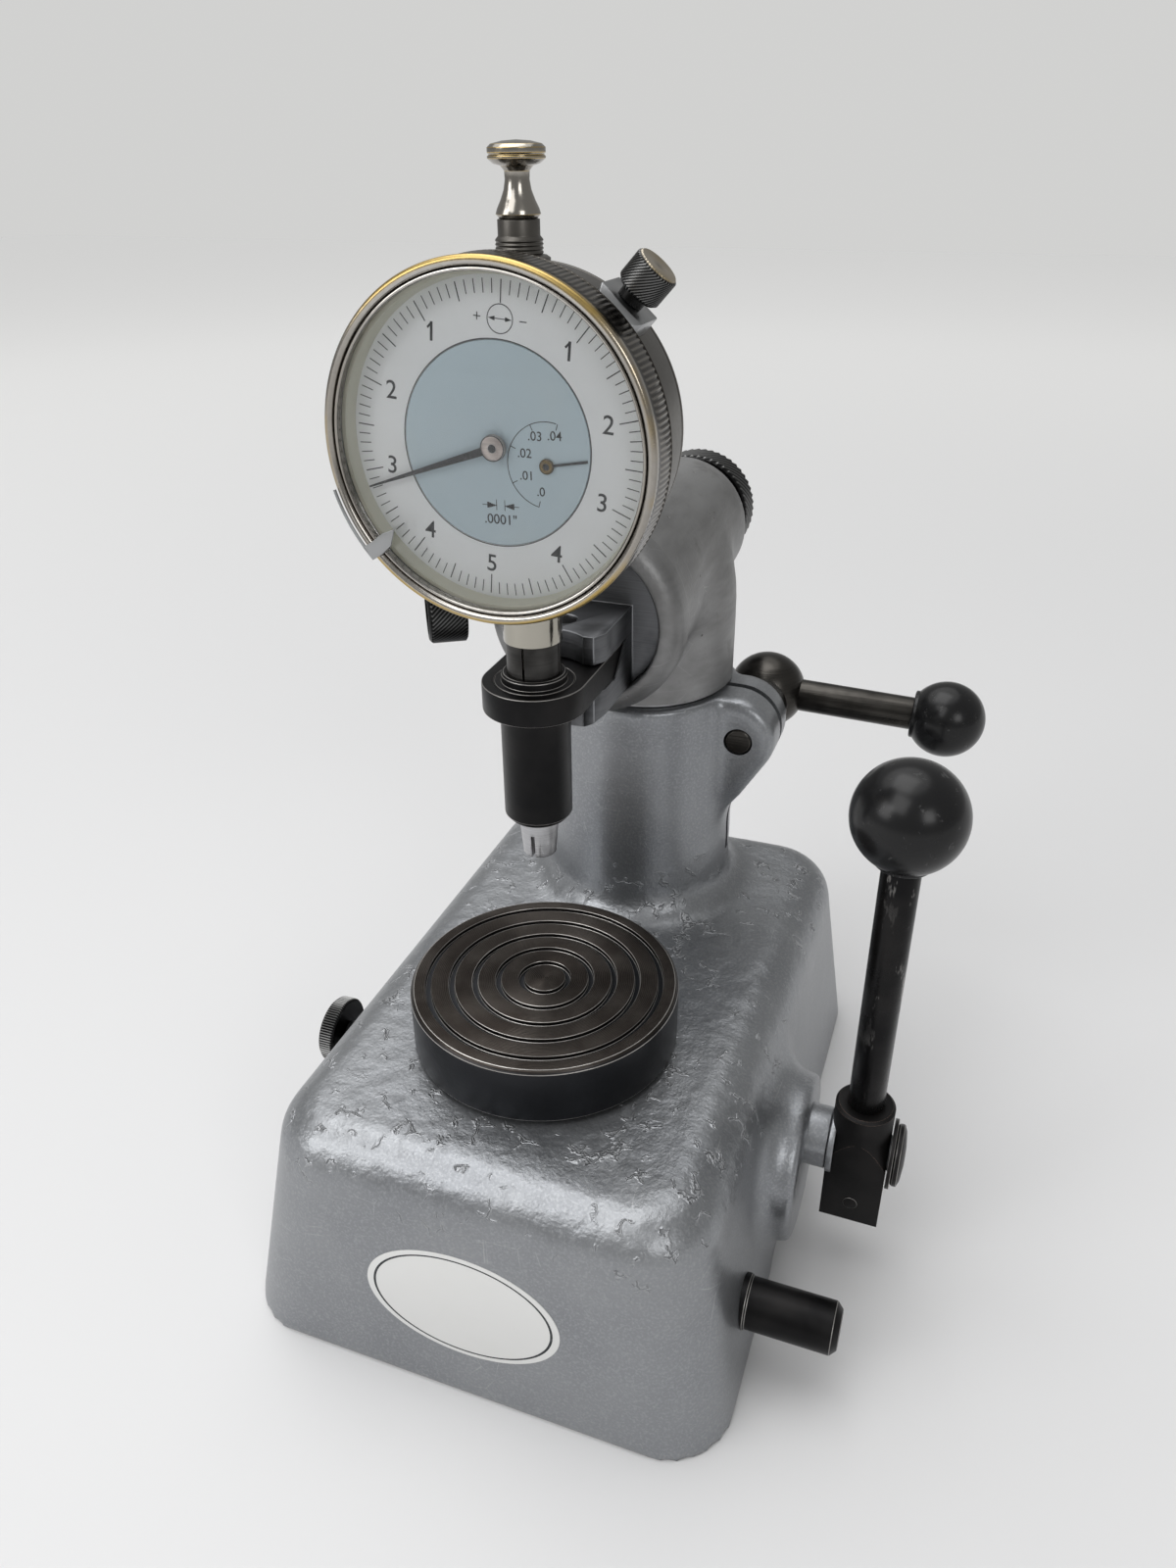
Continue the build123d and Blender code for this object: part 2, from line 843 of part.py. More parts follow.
with BuildPart() as lever_shaft:
    turn(
        shaft_place,
        RIGHT,
        [
            (0, pinion_x),
            (shaft_radius, pinion_x),
            (shaft_radius, collar_x),
            (collar_radius, collar_x),
            (collar_radius, hub_left),
            (shaft_radius, hub_left),
            (shaft_radius, shaft_end),
            (0, shaft_end),
        ],
    )
save(lever_shaft, "lever_shaft")

# Lever hub, turned about an upright axis and milled flat at the front
hub_place = (hub_x, shaft_y, 0)
with BuildPart() as lever_hub:
    rim_low = hub_top - hub_rim_height
    bends = [pi / 2 * step / hub_dome_steps for step in range(hub_dome_steps + 1)]
    dome = [(hub_radius * sin(bend), hub_foot + hub_dome - hub_dome * cos(bend)) for bend in bends]
    turn(
        hub_place,
        UP,
        dome
        + [
            (hub_radius, rim_low),
            (hub_radius + hub_rim_lip, rim_low + hub_rim_lip),
            (hub_radius + hub_rim_lip, hub_top - hub_rim_lip),
            (hub_radius, hub_top),
            (0, hub_top),
        ],
    )
    rod(shaft_place, RIGHT, collar_radius + seat_gap, collar_x - overrun, hub_left, Mode.SUBTRACT)
    rod(shaft_place, RIGHT, washer_radius + seat_gap, hub_right, hub_right + hub_radius, Mode.SUBTRACT)
    hub_span = (hub_left - overrun, hub_right + overrun)
    rod(shaft_place, RIGHT, shaft_radius + plug_gap, *hub_span, Mode.SUBTRACT)
    rod_foot = shaft_z + lever_rod_seat
    rod(hub_place, UP, lever_rod_radius + plug_gap, rod_foot, hub_top + overrun, Mode.SUBTRACT)
    hub_face_y = shaft_y - hub_radius + hub_flat_depth
    with BuildSketch(Plane.XZ.offset(-hub_face_y)) as hub_flat:
        arch_z = hub_flat_top - hub_flat_half_width
        with Locations((hub_x, arch_z)):
            Circle(hub_flat_half_width)
        with Locations((hub_x, (arch_z + hub_flat_foot) / 2)):
            Rectangle(2 * hub_flat_half_width, arch_z - hub_flat_foot)
    extrude(hub_flat.sketch, amount=hub_radius, mode=Mode.SUBTRACT)
    pin_place = (hub_x, 0, hub_pin_z)
    rod(pin_place, BACK, hub_pin_radius + plug_gap, 0, shaft_y + hub_radius + overrun, Mode.SUBTRACT)
save(lever_hub, "lever_hub")

with BuildPart() as hub_pin:
    pin_edge = hub_pin_radius / 5
    pin_back = shaft_y + hub_radius - hub_flat_depth
    disc(pin_place, BACK, hub_pin_radius, hub_face_y - seat_gap, pin_back, pin_edge)
save(hub_pin, "hub_pin")

with BuildPart() as lever_washer:
    tube(shaft_place, RIGHT, shaft_radius + plug_gap, washer_radius, hub_right, hub_right + washer_thick)
save(lever_washer, "lever_washer")

with BuildPart() as lever_cap:
    cap_low = hub_right + washer_thick
    turn(
        shaft_place,
        RIGHT,
        [
            (0, shaft_end),
            (shaft_radius + plug_gap, shaft_end),
            (shaft_radius + plug_gap, cap_low),
            (cap_radius, cap_low),
            (cap_radius, cap_low + cap_thick - cap_dome),
            (cap_radius - cap_dome, cap_low + cap_thick),
            (0, cap_low + cap_thick + cap_dome),
        ],
    )
save(lever_cap, "lever_cap")

with BuildPart() as lever_rod:
    rod_top = lever_ball_z - lever_rod_seat
    rod(hub_place, UP, lever_rod_radius, rod_foot, rod_top)
save(lever_rod, "lever_rod")

with BuildPart() as lever_ball:
    ball((hub_x, shaft_y, lever_ball_z), lever_ball_radius)
    ball_foot = lever_ball_z - lever_ball_radius
    rod(hub_place, UP, lever_ball_radius, ball_foot - overrun, ball_foot + ball_flat, Mode.SUBTRACT)
    rod(hub_place, UP, lever_rod_radius + plug_gap, ball_foot - overrun, rod_top, Mode.SUBTRACT)
save(lever_ball, "lever_ball")

# Thumb screw that locks the table spindle
with BuildPart() as table_lock_screw:
    disc(
        lock_place,
        RIGHT,
        lock_disc_radius,
        lock_disc_x,
        lock_disc_x + lock_disc_thick,
        lock_disc_edge,
    )
    lock_tip = -sqrt((spindle_radius + seat_gap) ** 2 - (lock_y - lock_shank_radius) ** 2)
    rod(lock_place, RIGHT, lock_shank_radius, lock_disc_x + lock_disc_thick / 2, lock_tip)
save(table_lock_screw, "table_lock_screw")

# Post that slides in the column and carries the head on its neck
with BuildPart() as head_post:
    turn(
        column_place,
        UP,
        [
            (0, post_foot),
            (post_radius, post_foot),
            (post_radius, shoulder_low),
            (shoulder_radius, shoulder_low),
            (shoulder_radius, shoulder_low + shoulder_thick),
            (post_neck_radius, shoulder_low + shoulder_thick),
            (post_neck_radius, post_neck_top),
            (0, post_neck_top),
        ],
    )
save(head_post, "head_post")

# Head casting: an upright neck blended into a level barrel
head_place = (0, 0, head_z)
thumb_way = (cos(radians(thumb_yaw)), sin(radians(thumb_yaw)), 0)
thumb_place = (thumb_x, thumb_y, head_z)
with BuildPart() as head_casting:
    turn(
        column_place,
        UP,
        [
            (0, head_foot),
            (neck_radius - neck_edge, head_foot),
            (neck_radius, head_foot + neck_edge),
            (neck_radius, head_z + barrel_waist / 2),
            (0, head_z + barrel_waist / 2),
        ],
    )
    with BuildSketch(Plane.XZ.offset(-column_y - neck_radius)) as neck_cover:
        with Locations((0, head_z)):
            Circle(barrel_waist)
        neck_side = head_z - neck_side_gap - head_foot
        with Locations((0, head_foot + neck_side / 2)):
            Rectangle(2 * neck_radius, neck_side)
        make_hull()
    extrude(neck_cover.sketch, amount=2 * neck_radius, mode=Mode.INTERSECT)
    turn(
        head_place,
        BACK,
        [
            (0, rim_back),
            (barrel_radius, rim_back),
            (barrel_back_radius, barrel_back - barrel_edge),
            *quarter(barrel_back_radius - barrel_edge, barrel_back - barrel_edge, barrel_edge, 0),
            (0, barrel_back),
        ],
    )
    turn(
        head_place,
        BACK,
        [
            (0, rim_front),
            (rim_radius - rim_edge, rim_front),
            *quarter(rim_radius - rim_edge, rim_front + rim_edge, rim_edge, -90),
            (rim_radius, rim_back),
            (barrel_radius, rim_back + rim_radius - barrel_radius),
            (0, rim_back + rim_radius - barrel_radius),
        ],
    )
    rod(head_place, BACK, carrier_radius + run_gap, rim_front - overrun, carrier_seat, Mode.SUBTRACT)
    rod(head_place, BACK, shank_radius + run_gap, rim_front, barrel_back + overrun, Mode.SUBTRACT)
    neck_span = (head_foot - overrun, post_neck_top + seat_gap)
    rod(column_place, UP, post_neck_radius + run_gap, *neck_span, Mode.SUBTRACT)
    rod(thumb_place, thumb_way, thumb_shank_radius + run_gap, 0, thumb_reach, Mode.SUBTRACT)
save(head_casting, "head_casting")

with BuildPart() as head_lock_screw:
    turn(
        thumb_place,
        thumb_way,
        [
            (0, thumb_recess - thumb_thick),
            (thumb_radius - 2 * thumb_edge, thumb_recess - thumb_thick),
            (thumb_radius - 2 * thumb_edge, -thumb_thick),
            (thumb_radius - thumb_edge, -thumb_thick),
            (thumb_radius, thumb_edge - thumb_thick),
            (thumb_radius, -thumb_edge),
            (thumb_radius - thumb_edge, 0),
            (thumb_shank_radius, 0),
            (thumb_shank_radius, thumb_reach - thumb_cone),
            (0, thumb_reach),
        ],
    )
save(head_lock_screw, "head_lock_screw")

# Arm carrier: a turned shank with a slotted block on its front end
with BuildPart() as arm_carrier:
    turn(
        head_place,
        BACK,
        [
            (0, carrier_front),
            (carrier_radius, carrier_front),
            (carrier_radius, carrier_seat - seat_gap),
            (shank_radius, carrier_seat - seat_gap),
            (shank_radius, shank_end - rear_washer_thick),
            (shank_thread_radius, shank_end - rear_washer_thick),
            (shank_thread_radius, shank_end + seat_gap + knob_hole_depth),
            (0, shank_end + seat_gap + knob_hole_depth),
        ],
    )
    block_depth = carrier_shoulder - carrier_front + overrun
    with BuildSketch(Plane.XZ.offset(-carrier_shoulder)) as trim:
        with Locations((0, head_z)):
            Circle(carrier_radius + overrun)
        keep_low = head_z - carrier_radius - overrun
        with Locations((0, (keep_low + head_z + carrier_top) / 2)):
            Rectangle(2 * carrier_half_width, head_z + carrier_top - keep_low, mode=Mode.SUBTRACT)
    extrude(trim.sketch, amount=block_depth, mode=Mode.SUBTRACT)
    wide = carrier_radius + overrun
    block((-wide, wide), (carrier_front - overrun, slot_back), (slot_floor, slot_roof), Mode.SUBTRACT)
    low, high = head_z - wide, head_z + wide
    rod((0, 0, 0), UP, horn_notch, low, high, Mode.SUBTRACT)
    for side in (-1, 1):
        with BuildSketch(Plane.XY.offset(low)) as horn:
            corner = side * carrier_half_width
            with BuildLine():
                Polyline(
                    (corner - side * horn_edge, carrier_front),
                    (corner - side * horn_edge, carrier_front - overrun),
                    (corner + side * overrun, carrier_front - overrun),
                    (corner + side * overrun, carrier_front + 2 * horn_edge),
                    (corner, carrier_front + 2 * horn_edge),
                    close=True,
                )
            make_face()
        extrude(horn.sketch, amount=high - low, mode=Mode.SUBTRACT)
    arm_screw_place = (0, arm_screw_y, 0)
    rod(arm_screw_place, UP, arm_screw_radius + run_gap, slot_roof - overrun, high, Mode.SUBTRACT)
save(arm_carrier, "arm_carrier")

with BuildPart() as rear_washer:
    washer_low = barrel_back + seat_gap
    tube(head_place, BACK, shank_thread_radius + plug_gap, rear_washer_radius, washer_low, shank_end)
save(rear_washer, "rear_washer")

with BuildPart() as rear_knob:
    knob_mid = knob_front + knob_neck_length
    knob_back = knob_mid + knob_thick
    turn(
        head_place,
        BACK,
        [
            (0, knob_front),
            (knob_neck_radius, knob_front),
            (knob_neck_radius, knob_mid),
            (knob_radius - knob_edge, knob_mid),
            (knob_radius, knob_mid + knob_edge),
            (knob_radius, knob_back - knob_edge),
            (knob_radius - knob_edge, knob_back),
            (0, knob_back),
        ],
    )
    knob_hole = knob_front + knob_hole_depth + seat_gap
    rod(head_place, BACK, shank_thread_radius + run_gap, knob_front - overrun, knob_hole, Mode.SUBTRACT)
save(rear_knob, "rear_knob")

# Arm plate that slides in the slot and holds the gauge in its eye
with BuildPart() as arm_plate:
    with BuildSketch(Plane.XY.offset(arm_low)) as plate_outline:
        Circle(eye_radius)
        with Locations((0, arm_back / 2)):
            Rectangle(2 * eye_radius, arm_back)
        Circle(eye_bore, mode=Mode.SUBTRACT)
    extrude(plate_outline.sketch, amount=arm_thick)
    chamfer(arm_plate.faces().sort_by(Axis.Z)[-1].outer_wire().edges(), eye_edge)
    eye_screw_place = (0, 0, arm_low + arm_thick / 2)
    rod(eye_screw_place, RIGHT, eye_screw_radius + plug_gap, -eye_radius - overrun, 0, Mode.SUBTRACT)
save(arm_plate, "arm_plate")

with BuildPart() as arm_screw:
    screw_top = head_z + carrier_top - arm_screw_sink
    rod(arm_screw_place, UP, arm_screw_radius, arm_high + seat_gap / 2, screw_top)
save(arm_screw, "arm_screw")

with BuildPart() as eye_screw:
    rod(eye_screw_place, RIGHT, eye_screw_radius, -eye_radius + arm_screw_sink, -eye_bore - run_gap)
save(eye_screw, "eye_screw")

# Gauge holder, a black tube with the collet and probe at its ends
with BuildPart() as gauge_holder:
    turn(
        (0, 0, 0),
        UP,
        [
            (holder_bore, holder_foot),
            (holder_radius - holder_foot_edge, holder_foot),
            (holder_radius, holder_foot + holder_foot_edge),
            (holder_radius, arm_low),
            (holder_eye_radius, arm_low),
            (holder_eye_radius, arm_high),
            (holder_neck_radius, arm_high),
            (holder_neck_radius, holder_top - holder_top_edge),
            (holder_neck_radius - holder_top_edge, holder_top),
            (collet_radius + plug_gap, holder_top),
            (collet_radius + plug_gap, collet_foot),
            (holder_bore, collet_foot),
        ],
    )
save(gauge_holder, "gauge_holder")

with BuildPart() as collet:
    tube((0, 0, 0), UP, holder_bore, collet_radius, collet_foot, stem_foot)
    slit = (-collet_slit / 2, collet_slit / 2)
    whole = (-collet_radius - overrun, collet_radius + overrun)
    height = (holder_top - collet_radius / 2, stem_foot + overrun)
    block(whole, slit, height, Mode.SUBTRACT)
    block(slit, whole, height, Mode.SUBTRACT)
save(collet, "collet")

with BuildPart() as probe_collar:
    probe_bore = plunger_radius + run_gap
    turn(
        (0, 0, 0),
        UP,
        [
            (probe_bore, probe_foot),
            (probe_foot_radius, probe_foot),
            (stem_low_radius, holder_foot),
            (stem_low_radius, probe_top),
            (probe_bore, probe_top),
        ],
    )
    block(
        (-probe_slit / 2, probe_slit / 2),
        (-holder_radius, holder_radius),
        (probe_foot - overrun, probe_slit_top),
        Mode.SUBTRACT,
    )
save(probe_collar, "probe_collar")

with BuildPart() as stem:
    turn(
        (0, 0, 0),
        UP,
        [
            (plunger_radius + run_gap, stem_low_foot),
            (stem_low_radius, stem_low_foot),
            (stem_low_radius, stem_foot),
            (stem_radius, stem_foot),
            (stem_radius, stem_top),
            (plunger_radius + run_gap, stem_top),
        ],
    )
save(stem, "stem")

# Dial case, turned about the level dial axis
dial_place = (0, 0, dial_z)
case_floor = case_front + case_wall
with BuildPart() as dial_case:
    turn(
        dial_place,
        BACK,
        [
            (arbor_radius + run_gap, case_front),
            (case_radius, case_front),
            (case_radius, case_back_y),
            (case_radius - case_wall, case_back_y),
            (case_radius - case_wall, case_floor),
            (arbor_radius + run_gap, case_floor),
        ],
    )
    counter_place = (counter_x, 0, dial_z + counter_z)
    floor_span = (case_front - overrun, case_floor + overrun)
    rod(counter_place, BACK, arbor_radius + run_gap, *floor_span, Mode.SUBTRACT)
    rod((0, 0, 0), UP, stem_radius + plug_gap, stem_foot, dial_z, Mode.SUBTRACT)
    rod((0, 0, 0), UP, top_collar_radius + plug_gap, dial_z, case_top + overrun, Mode.SUBTRACT)
save(dial_case, "dial_case")

with BuildPart() as case_back:
    lip = case_radius - case_wall - plug_gap
    turn(
        dial_place,
        BACK,
        [
            (0, case_back_y - case_back_lip),
            (lip, case_back_y - case_back_lip),
            (lip, case_back_y),
            (case_radius, case_back_y),
            (case_radius - case_back_thick / 2, case_back_y + case_back_thick),
            (0, case_back_y + case_back_thick),
        ],
    )
save(case_back, "case_back")

with BuildPart() as dial_centre:
    tube(dial_place, BACK, arbor_radius + run_gap, dial_step_radius, dial_front, case_front)
    plate_span = (dial_front - overrun, case_front + overrun)
    rod(counter_place, BACK, arbor_radius + run_gap, *plate_span, Mode.SUBTRACT)
save(dial_centre, "dial_centre")

# Bezel with its crystal and the ring of graduations
bezel_skirt = case_radius + run_gap
with BuildPart() as bezel:
    roll = bezel_radius - bezel_lip
    turn(
        dial_place,
        BACK,
        [
            (bezel_skirt, bezel_rear),
            (bezel_radius - roll / 8, bezel_rear),
            (bezel_radius, bezel_rear + roll / 8),
            (bezel_radius, bezel_front + roll * 3 / 4),
            (bezel_radius - roll / 4, bezel_front + roll / 4),
            (bezel_radius - roll * 3 / 8, bezel_front + roll * 3 / 8),
            (bezel_radius - roll / 2, bezel_front + roll / 8),
            (bezel_radius - roll * 3 / 4, bezel_front),
            (bezel_lip, bezel_front + roll / 8),
            (bezel_lip, crystal_front),
            (bezel_skirt, crystal_front),
        ],
    )
save(bezel, "bezel")

with BuildPart() as crystal:
    rod(dial_place, BACK, case_radius, crystal_front, crystal_back)
save(crystal, "crystal")

with BuildPart() as crystal_ring:
    tube(dial_place, BACK, bezel_lip, case_radius, crystal_back, dial_front)
save(crystal_ring, "crystal_ring")

with BuildPart() as dial_ring:
    tube(dial_place, BACK, dial_step_radius + dial_step_gap, case_radius, dial_front, dial_back)
save(dial_ring, "dial_ring")

marker_way = (cos(radians(marker_angle)), 0, sin(radians(marker_angle)))
marker_low = bezel_front - seat_gap / 2 - marker_thick
marker_out = bezel_radius + seat_gap / 2 + marker_thick
with BuildPart() as tolerance_marker:
    with BuildSketch(Plane(origin=dial_place, x_dir=marker_way, z_dir=BACK).offset(marker_low)) as strip:
        with Locations(((marker_inner + marker_out) / 2, 0)):
            Rectangle(marker_out - marker_inner, 2 * marker_half_width)
    extrude(strip.sketch, amount=marker_thick)
    with BuildSketch(Plane(origin=dial_place, x_dir=marker_way, z_dir=BACK).offset(marker_low)) as leg:
        with Locations((marker_out - marker_thick / 2, 0)):
            Rectangle(marker_thick, 2 * marker_half_width)
    extrude(leg.sketch, amount=marker_leg)
save(tolerance_marker, "tolerance_marker")


def hand(place, angle, front, length, root_half):
    """Flat hand that tapers from its arbor to its tip."""
    way = (cos(radians(angle)), 0, sin(radians(angle)))
    with BuildSketch(Plane(origin=place, x_dir=way, z_dir=BACK).offset(front)) as outline:
        with BuildLine():
            Polyline(
                (0, -root_half),
                (length, -root_half / 5),
                (length, root_half / 5),
                (0, root_half),
                close=True,
            )
        make_face()
    extrude(outline.sketch, amount=pointer_thick)


# Main pointer and the small counter hand, each on its arbor
with BuildPart() as pointer:
    pointer_back = dial_front - pointer_gap
    pointer_front = pointer_back - pointer_thick
    hand(dial_place, pointer_angle, pointer_front, pointer_length, pointer_root)
    hub_lip = pointer_hub_thick / 2
    rod(dial_place, BACK, pointer_hub_radius, pointer_front - hub_lip, pointer_back + hub_lip)
    rod(dial_place, BACK, arbor_radius, pointer_front, case_front + arbor_depth)
save(pointer, "pointer")

with BuildPart() as small_pointer:
    counter_back = dial_front - counter_gap
    counter_front = counter_back - pointer_thick / 2
    counter_way = (cos(radians(counter_angle)), 0, sin(radians(counter_angle)))
    needle_plane = Plane(origin=counter_place, x_dir=counter_way, z_dir=BACK).offset(counter_front)
    with BuildSketch(needle_plane) as needle:
        with Locations((counter_length / 2, 0)):
            Rectangle(counter_length, 2 * counter_half_width)
    extrude(needle.sketch, amount=pointer_thick / 2)
    rod(counter_place, BACK, counter_hub_radius, counter_front - counter_gap, counter_back)
    rod(counter_place, BACK, arbor_radius, counter_front, case_front + arbor_depth / 2)
save(small_pointer, "small_pointer")

# Lug and knurled knob that lock the bezel
lug_way = (cos(radians(lug_angle)), 0, sin(radians(lug_angle)))
lug_place = (0, lug_y, dial_z)
with BuildPart() as case_lug:
    lug_root = case_radius - case_wall / 2
    with BuildSketch(Plane(origin=lug_place, z_dir=lug_way).offset(lug_root)) as lug_outline:
        Rectangle(2 * lug_half_depth, 2 * lug_half_width)
    extrude(lug_outline.sketch, amount=lug_reach - lug_root)
    rod(dial_place, BACK, case_radius + plug_gap, case_front, case_back_y + case_back_thick, Mode.SUBTRACT)
    rod(lug_place, lug_way, lug_screw_radius + run_gap, 0, lug_reach + overrun, Mode.SUBTRACT)
save(case_lug, "case_lug")

with BuildPart() as bezel_lock_knob:
    neck_end = lug_reach + seat_gap + lug_neck_length
    knob_end = neck_end + lug_knob_length
    turn(
        lug_place,
        lug_way,
        [
            (0, case_radius + seat_gap),
            (lug_screw_radius, case_radius + seat_gap),
            (lug_screw_radius, lug_reach + seat_gap),
            (lug_neck_radius, lug_reach + seat_gap),
            (lug_neck_radius, neck_end),
            (lug_knob_radius - lug_knob_edge, neck_end),
            (lug_knob_radius, neck_end + lug_knob_edge),
            (lug_knob_radius, knob_end - lug_knob_edge),
            (lug_knob_radius - lug_knob_edge, knob_end),
            (0, knob_end),
        ],
    )
save(bezel_lock_knob, "bezel_lock_knob")

# Bush, lifting cap and plunger along the gauge axis
with BuildPart() as top_bush:
    bush_bore = plunger_radius + run_gap
    turn(
        (0, 0, 0),
        UP,
        [
            (bush_bore, case_top - top_root),
            (top_collar_radius, case_top - top_root),
            (top_collar_radius, case_top),
            (top_flange_radius, case_top),
            (top_flange_radius, top_ring_low - top_flange_height / 2),
            (top_ring_radius, top_ring_low),
            (top_ring_radius, top_collar_low),
            (top_collar_radius, top_collar_low),
            (top_collar_radius, top_collar_low + top_collar_height),
            (bush_bore, top_collar_low + top_collar_height),
        ],
    )
save(top_bush, "top_bush")

with BuildPart() as lift_cap:
    disc_low = lift_cap_low + cap_neck_height
    turn(
        (0, 0, 0),
        UP,
        [
            (0, lift_cap_low),
            *[
                (
                    cap_neck_high + (cap_neck_low - cap_neck_high) * (1 - step / cap_neck_steps) ** 2,
                    lift_cap_low + cap_neck_height * step / cap_neck_steps,
                )
                for step in range(cap_neck_steps + 1)
            ],
            (cap_disc_radius - cap_disc_edge, disc_low),
            (cap_disc_radius, disc_low + cap_disc_edge),
            (cap_disc_radius, disc_low + cap_disc_height - cap_disc_edge),
            (cap_disc_radius - cap_disc_edge, disc_low + cap_disc_height - cap_disc_edge / 3),
            (0, disc_low + cap_disc_height),
        ],
    )
save(lift_cap, "lift_cap")

with BuildPart() as plunger:
    rod((0, 0, 0), UP, plunger_radius, plunger_foot, lift_cap_low)
save(plunger, "plunger")

# Clamp lever that draws the column's ears together
hub_centre = (bolt_x, clamp_hub_y, ear_z)
arm_way = (cos(radians(clamp_droop)), 0, -sin(radians(clamp_droop)))
with BuildPart() as clamp_bolt:
    rod(bolt_place, BACK, bolt_radius, ear_front + seat_gap, clamp_hub_y + clamp_bolt_end)
save(clamp_bolt, "clamp_bolt")

with BuildPart() as clamp_washer:
    hole = bolt_radius + plug_gap
    tube(bolt_place, BACK, hole, clamp_washer_radius, clamp_washer_low, clamp_washer_high)
save(clamp_washer, "clamp_washer")

with BuildPart() as clamp_hub:
    ball(hub_centre, clamp_hub_radius)
    rod(bolt_place, BACK, clamp_hub_radius, ear_front, clamp_washer_high, Mode.SUBTRACT)
    rod(bolt_place, BACK, clamp_neck_radius, clamp_washer_high, clamp_hub_y)
    rod(bolt_place, BACK, hole, ear_front, clamp_hub_y + clamp_bolt_end, Mode.SUBTRACT)
    rod(hub_centre, arm_way, clamp_arm_radius + plug_gap, clamp_arm_seat, clamp_arm_reach, Mode.SUBTRACT)
save(clamp_hub, "clamp_hub")

with BuildPart() as clamp_arm:
    rod(hub_centre, arm_way, clamp_arm_radius, clamp_arm_seat, clamp_arm_reach - clamp_ball_seat)
save(clamp_arm, "clamp_arm")

with BuildPart() as clamp_ball:
    reach_x, reach_z = clamp_arm_reach * arm_way[0], clamp_arm_reach * arm_way[2]
    ball((bolt_x + reach_x, clamp_hub_y, ear_z + reach_z), clamp_ball_radius)
    socket_end = clamp_arm_reach - clamp_ball_seat
    rod(hub_centre, arm_way, clamp_arm_radius + plug_gap, 0, socket_end, Mode.SUBTRACT)
save(clamp_ball, "clamp_ball")
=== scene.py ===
import json
from math import acos, asin, atan, atan2, cos, degrees, hypot, pi, radians, sin

import bmesh
import bpy
from mathutils import Matrix, Vector

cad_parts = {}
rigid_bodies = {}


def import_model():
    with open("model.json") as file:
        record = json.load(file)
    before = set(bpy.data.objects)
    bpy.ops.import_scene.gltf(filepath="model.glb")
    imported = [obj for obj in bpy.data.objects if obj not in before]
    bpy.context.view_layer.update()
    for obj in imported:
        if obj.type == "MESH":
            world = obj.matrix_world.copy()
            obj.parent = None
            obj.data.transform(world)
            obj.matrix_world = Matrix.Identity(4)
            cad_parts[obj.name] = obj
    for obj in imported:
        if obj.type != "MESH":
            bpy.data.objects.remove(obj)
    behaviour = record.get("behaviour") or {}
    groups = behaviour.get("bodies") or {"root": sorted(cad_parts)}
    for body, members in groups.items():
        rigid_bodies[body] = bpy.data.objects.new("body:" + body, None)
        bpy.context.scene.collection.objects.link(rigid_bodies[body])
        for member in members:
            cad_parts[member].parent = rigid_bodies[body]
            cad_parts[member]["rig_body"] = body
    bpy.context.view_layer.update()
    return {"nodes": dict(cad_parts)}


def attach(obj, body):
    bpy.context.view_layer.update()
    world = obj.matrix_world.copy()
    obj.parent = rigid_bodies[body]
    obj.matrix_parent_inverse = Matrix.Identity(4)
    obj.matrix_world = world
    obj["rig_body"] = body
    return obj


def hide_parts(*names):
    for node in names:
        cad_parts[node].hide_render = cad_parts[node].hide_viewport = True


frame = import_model()

MM = 0.001
UP = Vector((0, 0, 1))
RIGHT = Vector((1, 0, 0))
BACK = Vector((0, 1, 0))

# Places that several pieces share, in millimetres
COLUMN_Y = 71.0
HEAD_PLACE = (0.0, 0.0, 148.3)
BOLT_PLACE = (27.5, 0.0, 107.3)
SHAFT = (0.0, 12.0, 34.5)
LEVER = (72.2, 12.0, 0.0)
DIAL = (0.0, 0.0, 192.8)
LUG_TURN = radians(47.5)
LUG_WAY = Vector((cos(LUG_TURN), 0, sin(LUG_TURN)))

# How far along the lug's direction the brassy face of the bezel lock begins
LOCK_FACE = LUG_WAY.z * DIAL[2] + 36.2


class Signal:
    """A number that changes over a surface and can be used in sums."""

    def __init__(self, finish, socket):
        self.finish = finish
        self.socket = socket

    def sum_with(self, operation, first, second):
        return self.finish.node("Math", {"operation": operation}, {0: first, 1: second})

    def __add__(self, other):
        return self.sum_with("ADD", self, other)

    def __radd__(self, other):
        return self.sum_with("ADD", other, self)

    def __sub__(self, other):
        return self.sum_with("SUBTRACT", self, other)

    def __rsub__(self, other):
        return self.sum_with("SUBTRACT", other, self)

    def __mul__(self, other):
        return self.sum_with("MULTIPLY", self, other)

    def __rmul__(self, other):
        return self.sum_with("MULTIPLY", other, self)

    def top(self, other):
        """The larger of two signals."""
        return self.sum_with("MAXIMUM", self, other)

    def step(self, low, high):
        """0 below low, 1 above high and a smooth rise between them."""
        settings = {"interpolation_type": "SMOOTHSTEP"}
        return self.finish.node("MapRange", settings, {0: self, 1: low, 2: high, 3: 0.0, 4: 1.0})


